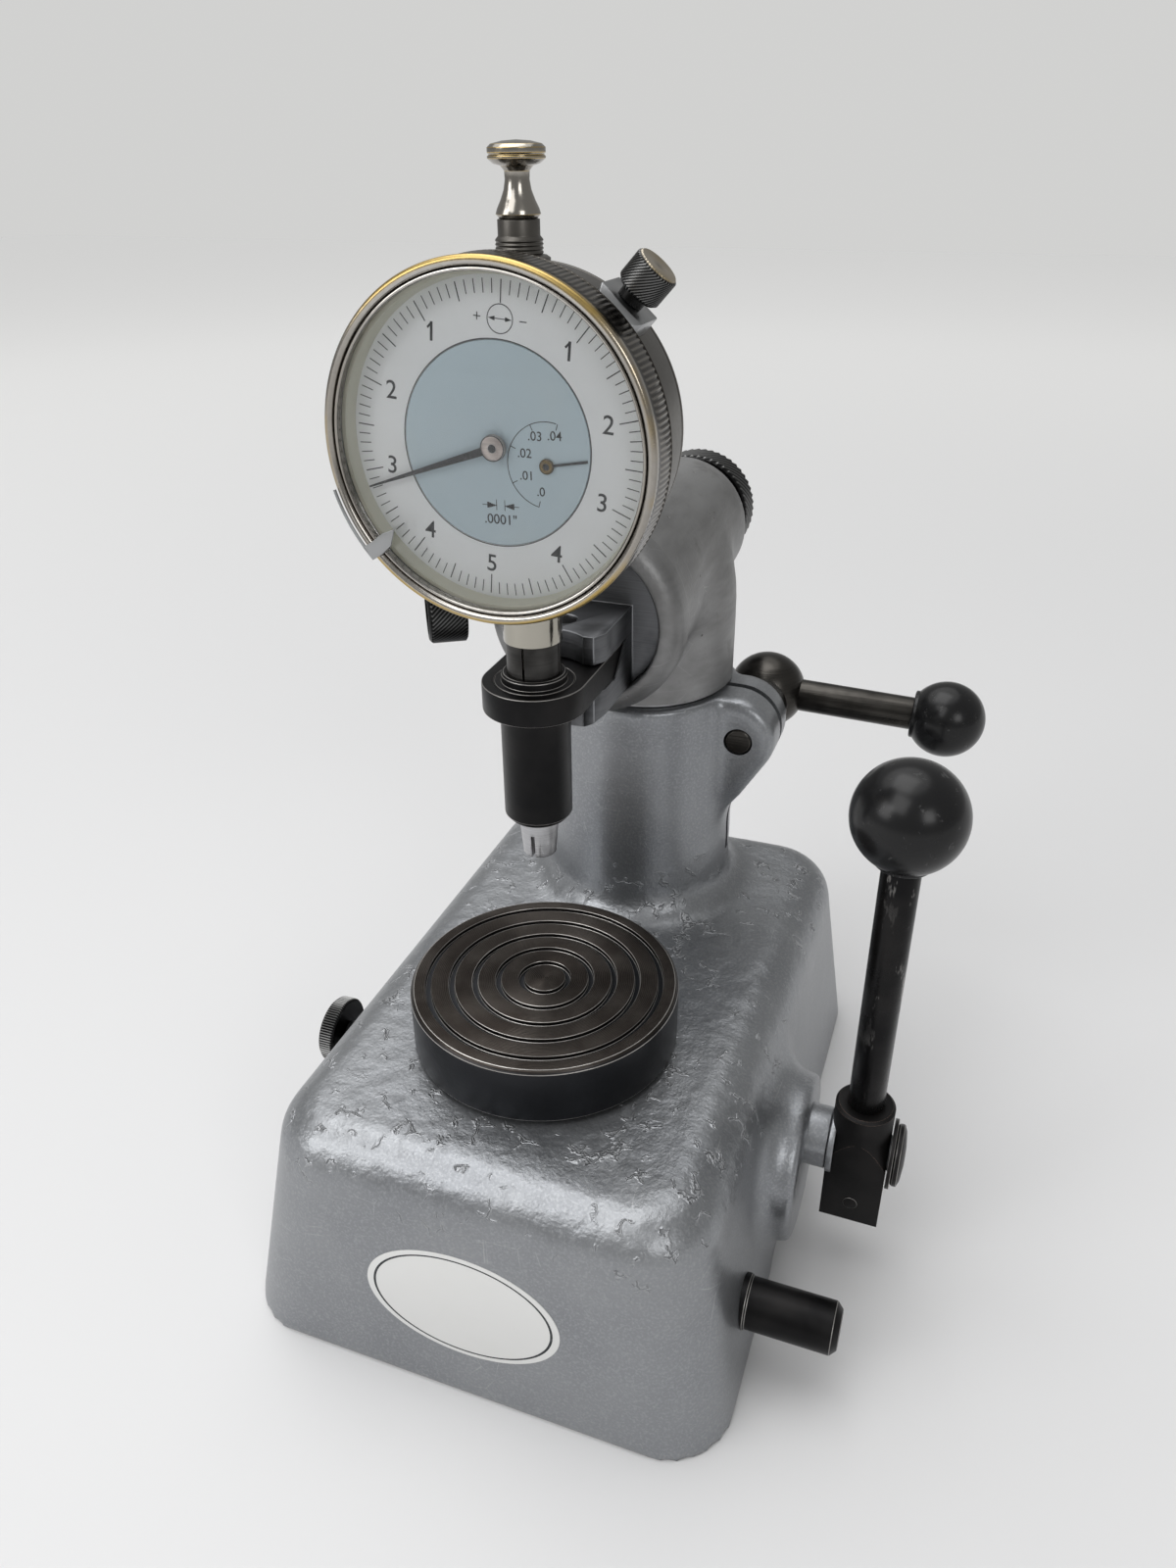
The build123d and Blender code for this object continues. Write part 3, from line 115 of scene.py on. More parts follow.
class Finish:
    """One material, written as sums of signals that end in the shader."""

    def __init__(self, name, slot, **fixed):
        self.material = bpy.data.materials.new(name)
        self.material.use_nodes = True
        self.slot = slot
        self.tree = self.material.node_tree
        self.shader = self.tree.nodes["Principled BSDF"]
        for socket, value in fixed.items():
            self.shader.inputs[socket.replace("_", " ")].default_value = value
        self.place = self.node("TexCoord", output="Object")

    def plug(self, target, value):
        if isinstance(value, Signal):
            self.tree.links.new(value.socket, target)
        elif hasattr(target.default_value, "__len__") and len(target.default_value) == 4:
            target.default_value = (*value[:3], 1.0)
        else:
            target.default_value = value

    def node(self, kind, settings=None, inputs=None, output=0):
        """Any node: its settings are set first, then its sockets."""
        made = self.tree.nodes.new("ShaderNode" + kind)
        for key, value in (settings or {}).items():
            setattr(made, key, value)
        for key, value in (inputs or {}).items():
            self.plug(made.inputs[key], value)
        return Signal(self, made.outputs[output])

    def stretched(self, scale, turn=(0, 0, 0)):
        """Object coordinates stretched and turned on the piece."""
        inputs = {"Vector": self.place, "Rotation": turn, "Scale": scale}
        return self.node("Mapping", {"vector_type": "POINT"}, inputs)

    def grain(self, scale, detail=3.0, rough=0.55, where=None):
        """Cloudy pattern with so many waves in a metre."""
        inputs = {"Vector": where or self.place, "Scale": scale, "Detail": detail, "Roughness": rough}
        return self.node("TexNoise", None, inputs)

    def cells(self, scale, where=None, feature="F1"):
        """Distance to scattered points, or to the borders between them."""
        return self.node("TexVoronoi", {"feature": feature}, {"Vector": where or self.place, "Scale": scale})

    def lines(self, scale, width, stretch, turn):
        """Long thin lines that cross the piece at a slant."""
        borders = self.cells(scale, self.stretched(stretch, turn), "DISTANCE_TO_EDGE")
        return 1 - borders.step(0.0, width)

    def along(self, axis):
        """One of the object coordinates, in metres."""
        return self.node("SeparateXYZ", None, {0: self.place}, "XYZ"[axis])

    def bent(self, scale, amount):
        """Object coordinates pushed about by a cloudy pattern, by metres."""
        push = self.node("TexNoise", None, {"Vector": self.place, "Scale": scale, "Detail": 3.0}, 1)
        reach = (amount, amount, amount)
        return self.node("VectorMath", {"operation": "MULTIPLY_ADD"}, {0: push, 1: reach, 2: self.place})

    def from_axis(self, first, second, centre=(0.0, 0.0)):
        """Distance from an axis along the third coordinate, in metres."""
        a, b = self.along(first) - centre[0], self.along(second) - centre[1]
        return self.node("Math", {"operation": "SQRT"}, {0: a * a + b * b})

    def worn(self):
        """How exposed the surface is, kept on the piece itself."""
        return self.node("Attribute", {"attribute_name": "worn"}, output="Fac")

    def mix(self, mask, first, second):
        """Colour that goes from the first to the second with a mask."""
        settings = {"data_type": "RGBA", "blend_type": "MIX"}
        return self.node("Mix", settings, {0: mask, 6: first, 7: second}, 2)

    def colour(self, first, *layers):
        """Base colour: a first one and layers over it, each as strong as its mask."""
        for mask, layer in layers:
            first = self.mix(mask, first, layer)
        self.plug(self.shader.inputs["Base Color"], first)

    def rough(self, value):
        self.plug(self.shader.inputs["Roughness"], value)

    def relief(self, height, depth):
        """Bump from a height between 0 and 1 and a real depth in metres."""
        bump = self.node("Bump", None, {"Strength": 1.0, "Distance": depth, "Height": height})
        self.plug(self.shader.inputs["Normal"], bump)


def shade(tone, share):
    """A colour made lighter or darker by a share."""
    return tuple(share * part for part in tone)


def grey(tone):
    return (tone, tone, tone)


def hammered_paint():
    """Silver enamel: lumpy and cracked on top, with painted shade in the cracks and a painted highlight along
    their lips, even and finely sparkling on the sides.
    """
    paint = Finish("hammered_paint", "hammertone_paint", Coat_Roughness=0.30, Specular_IOR_Level=0.5)
    paint.shader.inputs["Metallic"].default_value = 0.82
    paint.shader.inputs["Coat Weight"].default_value = 0.12
    fine = paint.grain(1700, 2)
    lumps = paint.grain(210, 3, 0.5)
    waves = paint.grain(42, 2, 0.5)
    height = paint.along(2)
    upper = height.step(0.041, 0.053) * (1 - height.step(0.060, 0.078))
    web = paint.cells(165, paint.bent(300, 0.005), "DISTANCE_TO_EDGE")
    broken = paint.grain(170, 2).step(0.545, 0.60) * paint.grain(38, 2).step(0.38, 0.54)
    share = broken * (0.05 + 0.95 * upper)
    crack_and_shade = (1 - web.step(0.006, 0.032)) * share
    lip_and_highlight = web.step(0.012, 0.035) * (1 - web.step(0.045, 0.11)) * share
    chips = (paint.grain(420, 4, 0.7) + paint.worn() * 0.2).step(0.72, 0.745)
    scratches = paint.lines(120, 0.010, (1, 0.05, 1), (0.3, 0.5, 0.9)) * paint.grain(70, 2).step(0.60, 0.68)
    paint.colour(
        (0.250, 0.259, 0.274),
        (waves.step(0.3, 0.7), (0.288, 0.297, 0.310)),
        (fine.step(0.42, 0.75) * 0.7, (0.36, 0.37, 0.385)),
        # Painted shade darkens the cracks, and a painted highlight lightens a line along the lip of each crack.
        (crack_and_shade * 0.42, (0.09, 0.09, 0.092)),
        (lip_and_highlight * 0.40, (0.62, 0.63, 0.65)),
        ((scratches + chips * 0.9) * 0.45, (0.55, 0.56, 0.57)),
    )
    paint.rough(0.335 + 0.07 * waves + 0.08 * share)
    high = waves * 0.55 + lumps * (0.08 + 0.40 * upper) + fine * (0.05 + 0.03 * upper)
    paint.relief(high - crack_and_shade * 0.26 + lip_and_highlight * 0.20 - chips * 0.15, 0.0009)
    return paint


def bare_casting(name, tone):
    """Bare aluminium, satin with streaks, pits and stains, and few scratches low on the neck."""
    cast = Finish(name, "bare_casting", Metallic=1.0)
    streaks = cast.grain(60, 4, 0.65, cast.stretched((1.0, 0.3, 1.5), (0.2, 0.5, 0.3)))
    clouds = cast.grain(34, 3, 0.55)
    fine = cast.grain(1300, 2)
    pits = (1 - cast.cells(520).step(0.06, 0.2)) * cast.grain(65, 3).step(0.57, 0.63)
    stains = cast.grain(95, 4, 0.7).step(0.60, 0.72)
    high_up = 0.35 + 0.65 * cast.along(2).step(0.128, 0.140)
    scratches = cast.lines(150, 0.02, (0.10, 1, 1), (0.4, 0.2, 0.7)) * clouds.step(0.50, 0.64) * high_up
    cast.colour(
        shade((0.175, 0.17325, 0.1715), tone),
        (streaks.step(0.28, 0.70), shade(grey(0.31), tone)),
        (clouds.step(0.30, 0.75) * 0.6, shade((0.25, 0.25, 0.252), tone)),
        (pits * 0.8 + stains * 0.22, (0.06, 0.052, 0.045)),
        (scratches * 0.4, shade(grey(0.48), tone)),
    )
    cast.rough(0.40 + 0.16 * clouds - 0.08 * scratches)
    cast.relief(streaks * 0.5 + fine * 0.12 + clouds * 0.6 - pits * 0.4, 0.0005)
    return cast


def ground_table_steel():
    """Dark browned steel, turned, painted dark in its grooves as shade, and worn bright at its edges, a
    brightness that also paints their highlights.
    """
    steel = Finish("browned_table_steel", "dark_steel", Metallic=1.0)
    tool_marks = steel.node("Math", {"operation": "SINE"}, {0: steel.from_axis(0, 1) * 16000})
    smears = steel.grain(70, 4, 0.6)
    spots = steel.grain(320, 4, 0.7)
    top = steel.along(2).step(0.0722, 0.0729)
    edge = (steel.worn() * 0.85 + spots * 0.45).step(0.58, 0.80)
    face = steel.mix(smears.step(0.35, 0.7), (0.034, 0.028, 0.024), (0.072, 0.063, 0.056))
    # Below the top face the first colour is the side's own tone and painted shade in the grooves; the light
    # edge colour is wear and also a painted highlight along each edge.
    steel.colour((0.030, 0.031, 0.034), (top, face), (edge, (0.50, 0.48, 0.46)))
    steel.rough(0.27 + 0.16 * smears - 0.05 * edge)
    steel.relief(tool_marks * 0.10 * top + spots * 0.25, 0.00025)
    return steel


def black_oxide(name, shine=0.30, brown=0.0, streak=0.0):
    """Blackened steel with worn edges, a few light chips and, where asked, rubbed streaks."""
    oxide = Finish(name, "black_oxide", Metallic=0.85, Specular_IOR_Level=0.3)
    clouds = oxide.grain(60, 3)
    spots = oxide.grain(500, 4, 0.7)
    edge = (oxide.worn() * 0.70 + spots * 0.5 + clouds * 0.15).step(0.74, 0.98)
    chips = oxide.grain(260, 4, 0.75).step(0.715, 0.735)
    if streak:
        rubbed = oxide.grain(300, 4, 0.7, oxide.stretched((1.0, 1.0, 0.22))).step(0.60, 0.66)
        chips = chips.top(rubbed * oxide.grain(45, 2).step(0.44, 0.56) * streak)
    bare = (0.30 + 0.1 * brown, 0.29 - 0.06 * brown, 0.28 - 0.12 * brown)
    cloudy = (clouds.step(0.35, 0.7), (0.022, 0.021, 0.021))
    oxide.colour((0.010, 0.010, 0.0105), cloudy, (edge.top(chips * 0.7), bare))
    oxide.rough(shine + 0.14 * clouds + 0.05 * spots)
    oxide.relief(spots * 0.3 - chips * 0.4, 0.00012)
    return oxide


def knurled_steel(name, slot, tone, brass_end=None):
    """Knurled steel: dark in the valleys, worn light on the teeth, a lightness that also paints a highlight on
    each crest, brassy past a distance along a way.
    """
    steel = Finish(name, slot, Metallic=1.0)
    clouds = steel.grain(90, 3)
    spots = steel.grain(700, 3)
    # Tooth crests: lighter as wear and as a painted highlight.
    layers = [(steel.worn().step(0.30, 0.95), (tone, tone, 0.99 * tone))]
    if brass_end:
        way, reach = brass_end
        out = (steel.along(0) * way.x + steel.along(2) * way.z).step(reach, reach + 0.0002)
        rubbed = steel.mix(clouds.step(0.35, 0.65), (0.30, 0.24, 0.14), (0.42, 0.38, 0.32))
        layers.append((out, rubbed))
    steel.colour(grey(0.016), *layers)
    steel.rough(0.30 + 0.14 * clouds + 0.06 * spots)
    steel.relief(spots * 0.3, 0.00006)
    return steel


def worn_bezel():
    """Turned ring whose plating is worn to brass on the outer roll, with a dull knurled side."""
    ring = Finish("worn_bezel", "chrome", Metallic=1.0)
    clouds = ring.grain(70, 3)
    spots = ring.grain(700, 4, 0.7)
    dial_height = DIAL[2] * MM
    roll = ring.from_axis(0, 2, (0.0, dial_height)).step(0.0280, 0.0285)
    rise = ring.along(2) - dial_height
    ends = (rise * rise * 1300.0).step(0.10, 0.75)
    brass = roll * (ends * 0.75 + clouds.step(0.42, 0.66) * 0.45).step(0.15, 0.85)
    side = ring.mix(ring.worn().step(0.3, 0.9), (0.05, 0.045, 0.04), (0.20, 0.185, 0.165))
    ring.colour(
        (0.44, 0.42, 0.39),
        (spots.step(0.3, 0.8), (0.52, 0.50, 0.47)),
        ((1 - ends) * 0.55, (0.20, 0.18, 0.155)),
        (brass, (0.46, 0.33, 0.12)),
        (ring.along(1).step(-0.0158, -0.0154), side),
    )
    ring.rough(0.13 + 0.12 * spots + 0.10 * brass)
    ring.relief(spots * 0.3, 0.00005)
    return ring


def ball_plastic():
    """Moulded black plastic with faint scuffs."""
    ball = Finish("black_ball_plastic", "black_plastic", Specular_IOR_Level=0.28)
    scuffs = ball.grain(420, 4, 0.7).step(0.60, 0.75)
    fine = ball.grain(45, 2)
    ball.colour((0.0085, 0.0085, 0.009), (scuffs * 0.40, grey(0.13)))
    ball.rough(0.21 + 0.06 * fine + 0.20 * scuffs)
    ball.relief(fine + scuffs * 0.1, 0.00015)
    return ball


def plated(name, slot, tone, shine, wear, brass_rise=None):
    """Plating that wears through to brass on its edges and, where asked, more from one height to another."""
    plate = Finish(name, slot, Metallic=1.0)
    clouds = plate.grain(90, 3)
    spots = plate.grain(800, 4, 0.7)
    amount = plate.worn() * 0.55 * wear + spots * 0.35 + clouds * 0.25
    if brass_rise:
        amount = amount + plate.along(2).step(*brass_rise) * 0.34
    brass = amount.step(0.62, 0.84)
    plate.colour(tone, (brass, (0.50, 0.36, 0.14)))
    plate.rough(shine + 0.12 * spots + 0.10 * brass)
    plate.relief(spots * 0.3, 0.00006)
    return plate


def milled_steel(name, slot, tone, shine):
    """Milled or turned steel with fine level tool lines, stains and brighter edges."""
    steel = Finish(name, slot, Metallic=1.0)
    lines = steel.grain(500, 2, 0.5, steel.stretched((0.15, 0.15, 6.0)))
    clouds = steel.grain(80, 3)
    spots = steel.grain(600, 4, 0.7)
    steel.colour(
        tone,
        (lines.step(0.3, 0.7), shade(tone, 1.2)),
        (clouds.step(0.50, 0.72) * 0.75, shade(tone, 0.35)),
        ((steel.worn() * 0.8 + spots * 0.4).step(0.7, 1.0), tuple(min(part, 0.6) for part in shade(tone, 1.9))),
    )
    steel.rough(shine + 0.14 * clouds + 0.05 * lines)
    steel.relief(lines * 0.5 + spots * 0.2, 0.00010)
    return steel


def printed_plate(name, slot, colour):
    """Printed plate with faint ageing and dust."""
    plate = Finish(name, slot, Specular_IOR_Level=0.4)
    age = plate.grain(70, 3)
    dust = plate.grain(900, 3, 0.7).step(0.70, 0.74)
    plate.colour(colour, (age.step(0.45, 0.8) * 0.12 + dust * 0.25, (0.60, 0.60, 0.55)))
    plate.rough(0.42 + 0.10 * age)
    return plate


def dial_ink():
    """Printing ink, thinner in places."""
    ink = Finish("dial_ink", "dial_white", Specular_IOR_Level=0.3)
    thin = ink.grain(1500, 3)
    ink.colour((0.025, 0.027, 0.030), (thin.step(0.45, 0.8) * 0.35, (0.20, 0.21, 0.22)))
    ink.rough(0.5 + 0.1 * thin)
    return ink


def clear_crystal():
    """Clear cover: mostly see-through, with a reflection that grows at low angles."""
    crystal = Finish("clear_crystal", "crystal")
    gloss = crystal.node("Fresnel", None, {"IOR": 1.45})
    clear = crystal.node("BsdfTransparent")
    shine = crystal.node("BsdfGlossy", None, {"Roughness": 0.03})
    mixed = crystal.node("MixShader", None, {0: gloss * 0.8, 1: clear, 2: shine})
    crystal.tree.links.new(mixed.socket, crystal.tree.nodes["Material Output"].inputs["Surface"])
    return crystal


def pale_bench():
    """Pale floor, painted lighter far off where the lamps' light falls away, so that it meets the backdrop
    softly.
    """
    bench = Finish("pale_bench", "floor")
    near_tone, far_painted_light_tone = (0.66, 0.66, 0.665), (0.95, 0.95, 0.945)
    # Painted light: the floor's colour brightens with distance to make up for the lamps' falloff.
    bench.colour(near_tone, (bench.from_axis(0, 1).step(0.25, 1.6), far_painted_light_tone))
    bench.rough(0.6)
    return bench


def linked(name, data):
    """New object in the scene."""
    made = bpy.data.objects.new(name, data)
    bpy.context.scene.collection.objects.link(made)
    return made


def bevel(bm, edges, width, segments):
    """Rounds edges by a width in millimetres."""
    return bmesh.ops.bevel(
        bm,
        geom=edges,
        offset=width * MM,
        offset_type="OFFSET",
        affect="EDGES",
        segments=segments,
        profile=0.5,
        material=-1,
        clamp_overlap=True,
    )


def soften(bm, width, angle=28.0, segments=3):
    """Rounds the sharp edges and keeps on the vertices how exposed each one is."""
    layer = bm.verts.layers.float.get("worn") or bm.verts.layers.float.new("worn")
    bm.normal_update()
    sharp = [e for e in bm.edges if len(e.link_faces) == 2 and e.calc_face_angle(0.0) > radians(angle)]
    if not sharp:
        return
    exposed = any(edge.is_convex for edge in sharp)
    made = bevel(bm, sharp, width, segments)
    if not exposed:
        return
    new_faces = set(made["faces"])
    for v in made["verts"]:
        if v.is_valid and all(face in new_faces for face in v.link_faces):
            v[layer] = 1.0


def finished(name, target, bm, finish, smooth=True, sharp=40.0):
    """Shows a mesh in place of the node called target or, if there is none, as a new piece of that body."""
    bmesh.ops.recalc_face_normals(bm, faces=bm.faces)
    mesh = bpy.data.meshes.new(name)
    for face in bm.faces:
        face.smooth = smooth
    bm.to_mesh(mesh)
    bm.free()
    if smooth:
        mesh.set_sharp_from_angle(angle=radians(sharp))
    mesh.materials.append(finish.material)
    piece = linked(name, mesh)
    is_node = target in frame["nodes"]
    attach(piece, frame["nodes"][target]["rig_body"] if is_node else target)
    if is_node:
        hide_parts(target)


def axis_matrix(place, way):
    """Matrix that stands local Z along a direction at a place in millimetres."""
    turn = way.to_track_quat("Z", "Y").to_matrix().to_4x4() if way != UP else Matrix.Identity(4)
    return Matrix.Translation(Vector(place) * MM) @ turn


def spun(outline, steps, place=(0, 0, 0), way=UP, edge=0.0):
    """Full turn of an outline of radius and distance; one that starts off the axis closes on itself."""
    bm = bmesh.new()
    points = [bm.verts.new((r * MM, 0, h * MM)) for r, h in outline]
    ends = list(zip(points, points[1:]))
    if outline[0][0] > 0:
        ends.append((points[-1], points[0]))
    edges = [bm.edges.new(pair) for pair in ends]
    bmesh.ops.spin(
        bm, geom=points + edges, cent=(0, 0, 0), axis=(0, 0, 1), angle=2 * pi, steps=steps, use_merge=True
    )
    bmesh.ops.remove_doubles(bm, verts=bm.verts, dist=1e-7)
    bmesh.ops.recalc_face_normals(bm, faces=bm.faces)
    if edge:
        soften(bm, edge)
    bmesh.ops.transform(bm, matrix=axis_matrix(place, way), verts=bm.verts)
    return bm


def bar(place, way, radius, low, high, steps=120):
    """Plain round bar."""
    return spun([(0, low), (radius, low), (radius, high), (0, high)], steps, place, way)


def turned(target, finish, outline, place=(0, 0, 0), way=UP, edge=0.25, steps=128, name=None):
    """Turned piece whose corners are rounded."""
    finished(name or target + "_dressed", target, spun(outline, steps, place, way, edge), finish)


def refined(node, finish, edge):
    """The CAD node's own shape with merged faces and softened edges."""
    bm = bmesh.new()
    bm.from_mesh(frame["nodes"][node].data)
    bmesh.ops.remove_doubles(bm, verts=bm.verts, dist=1e-6)
    bmesh.ops.dissolve_limit(bm, angle_limit=radians(0.4), verts=bm.verts, edges=bm.edges)
    soften(bm, edge, 30.0)
    finished(node + "_dressed", node, bm, finish)


def arc(centre_r, centre_h, radius, start, end, count):
    """Points of an arc in an outline, angles in degrees from the radius direction."""
    angles = [radians(start + (end - start) * i / count) for i in range(count + 1)]
    return [(centre_r + radius * cos(a), centre_h + radius * sin(a)) for a in angles]


def lofted(sections, ring=False):
    """Skin through sections of as many points each, closed by flat ends or round on itself."""
    bm = bmesh.new()
    loops = []
    for section in sections:
        points = [bm.verts.new(Vector(p) * MM) for p in section]
        loops.append([bm.edges.new(pair) for pair in zip(points, points[1:] + points[:1])])
    for first, second in zip(loops, loops[1:] + (loops[:1] if ring else [])):
        bmesh.ops.bridge_loops(bm, edges=first + second)
    if not ring:
        for loop in (loops[0], loops[-1]):
            bmesh.ops.contextual_create(bm, geom=loop)
    bmesh.ops.recalc_face_normals(bm, faces=bm.faces)
    return bm


def slab(outline, front, back):
    """Flat outline of X and Z, drawn out from front to back."""
    return lofted([[(x, y, z) for x, z in outline] for y in (front, back)])


def blank(bm):
    """A passing object that holds a mesh while a modifier shapes it."""
    mesh = bpy.data.meshes.new("blank")
    bm.to_mesh(mesh)
    bm.free()
    return linked("blank", mesh)


def shaped(holder):
    """The mesh of a passing object after its modifiers, which removes the object."""
    mesh = bpy.data.meshes.new_from_object(holder.evaluated_get(bpy.context.evaluated_depsgraph_get()))
    bpy.data.objects.remove(holder)
    return mesh


def together(shells):
    """Several shells in one mesh."""
    bm = bmesh.new()
    for shell in shells:
        mesh = bpy.data.meshes.new("shell")
        bmesh.ops.recalc_face_normals(shell, faces=shell.faces)
        shell.to_mesh(mesh)
        shell.free()
        bm.from_mesh(mesh)
    return bm


def cast_skin(shells, grid, blends):
    """Joins overlapping shells into one skin and smooths the places that the blends name."""
    holder = blank(together(shells))
    remesh = holder.modifiers.new("skin", "REMESH")
    remesh.mode = "VOXEL"
    remesh.voxel_size = grid * MM
    skin = bmesh.new()
    skin.from_mesh(shaped(holder))
    for test, rounds in blends:
        verts = [v for v in skin.verts if test(v.co / MM)]
        for _ in range(rounds):
            bmesh.ops.smooth_vert(
                skin, verts=verts, factor=0.5, use_axis_x=True, use_axis_y=True, use_axis_z=True
            )
    mark_wear(skin)
    return skin


def mark_wear(bm, start=0.05, gain=5.0):
    """Keeps on the vertices how far each stands out from its neighbours."""
    layer = bm.verts.layers.float.new("worn")
    bm.normal_update()
    for v in bm.verts:
        out = [(v.co - edge.other_vert(v).co).normalized().dot(v.normal) for edge in v.link_edges]
        v[layer] = min(max((sum(out) / len(out) - start) * gain, 0.0), 1.0)


def cut(bm, cutters, way="DIFFERENCE"):
    """Cuts bodies out of a mesh, or keeps what they share with it."""
    holder, tool = blank(bm), blank(together(cutters))
    boolean = holder.modifiers.new("cut", "BOOLEAN")
    boolean.operation = way
    boolean.solver = "EXACT"
    boolean.object = tool
    result = bmesh.new()
    result.from_mesh(shaped(holder))
    bpy.data.objects.remove(tool)
    return result


def band(radius, low, high, rows):
    """Straight stretch of an outline that gets a knurl."""
    return [(radius, low + (high - low) * row / rows) for row in range(rows + 1)]


def thread(radius, low, high, pitch, depth):
    """Outline of a screw thread as a run of ridges."""
    turns = int((high - low) / pitch)
    points = []
    for turn in range(turns):
        points += [(radius - depth, low + pitch * turn), (radius, low + pitch * (turn + 0.5))]
    return points + [(radius - depth, low + pitch * turns)]


def knurled(name, target, finish, outline, place, way, teeth, depth, crossed=True):
    """Turned piece whose rim, the middle part of its outline, has pressed teeth, straight or crossed."""
    before, rim, after = outline
    bm = spun(before + rim + after, 2 * teeth)
    layer = bm.verts.layers.float.new("worn")
    radius = rim[0][0]
    low, high = rim[0][1] * MM - 1e-6, rim[-1][1] * MM + 1e-6
    pitch = (rim[1][1] - rim[0][1]) * MM
    for v in bm.verts:
        if low <= v.co.z <= high and abs(hypot(v.co.x, v.co.y) - radius * MM) < 1e-5:
            column = round(atan2(v.co.y, v.co.x) / (pi / teeth))
            row = round((v.co.z - low) / pitch) if crossed else 0
            # Crests are marked worn, so the finishes make them lighter, as wear and as a painted highlight.
            if (column + row) % 2:
                v.co.xy *= 1 - depth / radius
            else:
                v[layer] = 1.0
    bmesh.ops.transform(bm, matrix=axis_matrix(place, way), verts=bm.verts)
    finished(name, target, bm, finish, sharp=24.0)


# Finishes
PAINT = hammered_paint()
CAST = bare_casting("bare_casting", 1.10)
RIM_CAST = bare_casting("bare_casting_rim", 0.95)
TABLE_STEEL = ground_table_steel()
OXIDE = black_oxide("black_oxide")
RUBBED_OXIDE = black_oxide("black_oxide_rubbed", shine=0.17, streak=0.8)
MATT_OXIDE = black_oxide("black_oxide_matt", shine=0.40, brown=0.6)
BALL = ball_plastic()
CHROME = plated("chrome", "chrome", (0.40, 0.38, 0.33), 0.07, 0.2)
BEZEL_CHROME = worn_bezel()
CAP_CHROME = plated("cap_chrome", "chrome", (0.33, 0.31, 0.28), 0.12, 0.9, (0.2330, 0.2345))
NICKEL = plated("dull_nickel", "worn_chrome", (0.120, 0.113, 0.103), 0.30, 0.35)
LUG_NICKEL = plated("lug_nickel", "worn_chrome", (0.33, 0.335, 0.34), 0.24, 0.15)
THUMB_STEEL = knurled_steel("thumb_screw_steel", "black_oxide", 0.16)
REAR_STEEL = knurled_steel("rear_knob_steel", "black_oxide", 0.20)
DISC_STEEL = knurled_steel("lock_disc_steel", "black_oxide", 0.26)
LOCK_STEEL = knurled_steel("bezel_lock_steel", "worn_chrome", 0.20, (LUG_WAY, LOCK_FACE * MM))
MILLED = milled_steel("milled_carrier_steel", "grey_steel", (0.135, 0.138, 0.145), 0.33)
DARK_MILLED = milled_steel("dark_collet_steel", "dark_steel", (0.060, 0.058, 0.056), 0.28)
CLAMP_STEEL = milled_steel("clamp_lever_steel", "black_oxide", (0.050, 0.047, 0.043), 0.20)
GROUND = milled_steel("ground_steel", "bright_steel", (0.42, 0.42, 0.43), 0.22)
HUB_SILVER = milled_steel("pointer_hub_steel", "dial_white", (0.52, 0.46, 0.43), 0.25)
WHITE_PRINT = printed_plate("white_dial_print", "dial_white", (0.79, 0.81, 0.82))
BLUE_PRINT = printed_plate("blue_dial_print", "dial_blue", (0.47, 0.575, 0.63))
CREAM = printed_plate("cream_ring", "cream", (0.66, 0.65, 0.54))
LABEL = printed_plate("bare_label", "cream", (0.70, 0.70, 0.69))
INK = dial_ink()
BRONZE = plated("bronze", "bronze", (0.16, 0.115, 0.05), 0.3, 0.3)
CRYSTAL = clear_crystal()

# Base casting: half width or reach at the floor and how much the side leans in over its height
BASE_HEIGHT = 58.0
BASE_ROUND = 11.0
BASE_RIGHT, BASE_FRONT, BASE_BACK, BASE_LEFT = (57.1, 7.5), (54.1, 5.3), (110.0, 8.0), (57.1, 10.5)
CORNER_FOOT, CORNER_TOP = 15.4, 17.0
COLUMN_RADIUS = 24.0
COLUMN_TOP = 118.0
FOOT_ROUND = 8.0
EAR_X, EAR_RADIUS = 25.5, 10.7
EAR_FRONT, EAR_BACK = 61.0, 80.0
BOSS_PLACE = (0.0, 12.0, 26.3)
BOSS_NOSE = [(29.0, 50.2), (23.0, 52.4), (20.0, 54.5)] + arc(18.1, 59.1, 1.5, 0, 90, 4)


def base_reach(side, turn=None, height=0.0):
    """How far a side of the base reaches at a height or, on its rounded top edge, at a turn."""
    far, taper = side
    if turn is None:
        return far - taper * height / BASE_HEIGHT
    lean = atan(taper / BASE_HEIGHT)
    meeting = BASE_HEIGHT - BASE_ROUND + BASE_ROUND * sin(lean)
    centre = far - taper * meeting / BASE_HEIGHT - BASE_ROUND * cos(lean)
    return centre + BASE_ROUND * cos(turn)


def base_section(turn=None, height=0.0, inset=0.0):
    """Rounded rectangle of the base, as points in millimetres."""
    sides = (BASE_RIGHT, BASE_FRONT, BASE_BACK, BASE_LEFT)
    right, front, back, left = (base_reach(side, turn, height) - inset for side in sides)
    corner = CORNER_FOOT + (CORNER_TOP - CORNER_FOOT) * height / BASE_HEIGHT - inset
    if turn is not None:
        height = BASE_HEIGHT - BASE_ROUND * (1 - sin(turn))
        corner = CORNER_TOP - BASE_ROUND * (1 - cos(turn))
    points = []
    for start, x, y in ((0, right, back), (90, -left, back), (180, -left, -front), (270, right, -front)):
        x -= corner if x > 0 else -corner
        y -= corner if y > 0 else -corner
        points += [(px, py, height) for px, py in arc(x, y, corner, start, start + 90, 14)]
    return points


def base_body():
    """Closed body of the base with a rounded top edge."""
    turns = [radians(angle) for angle in range(8, 91, 6)] + [pi / 2]
    return lofted([base_section()] + [base_section(turn) for turn in turns])


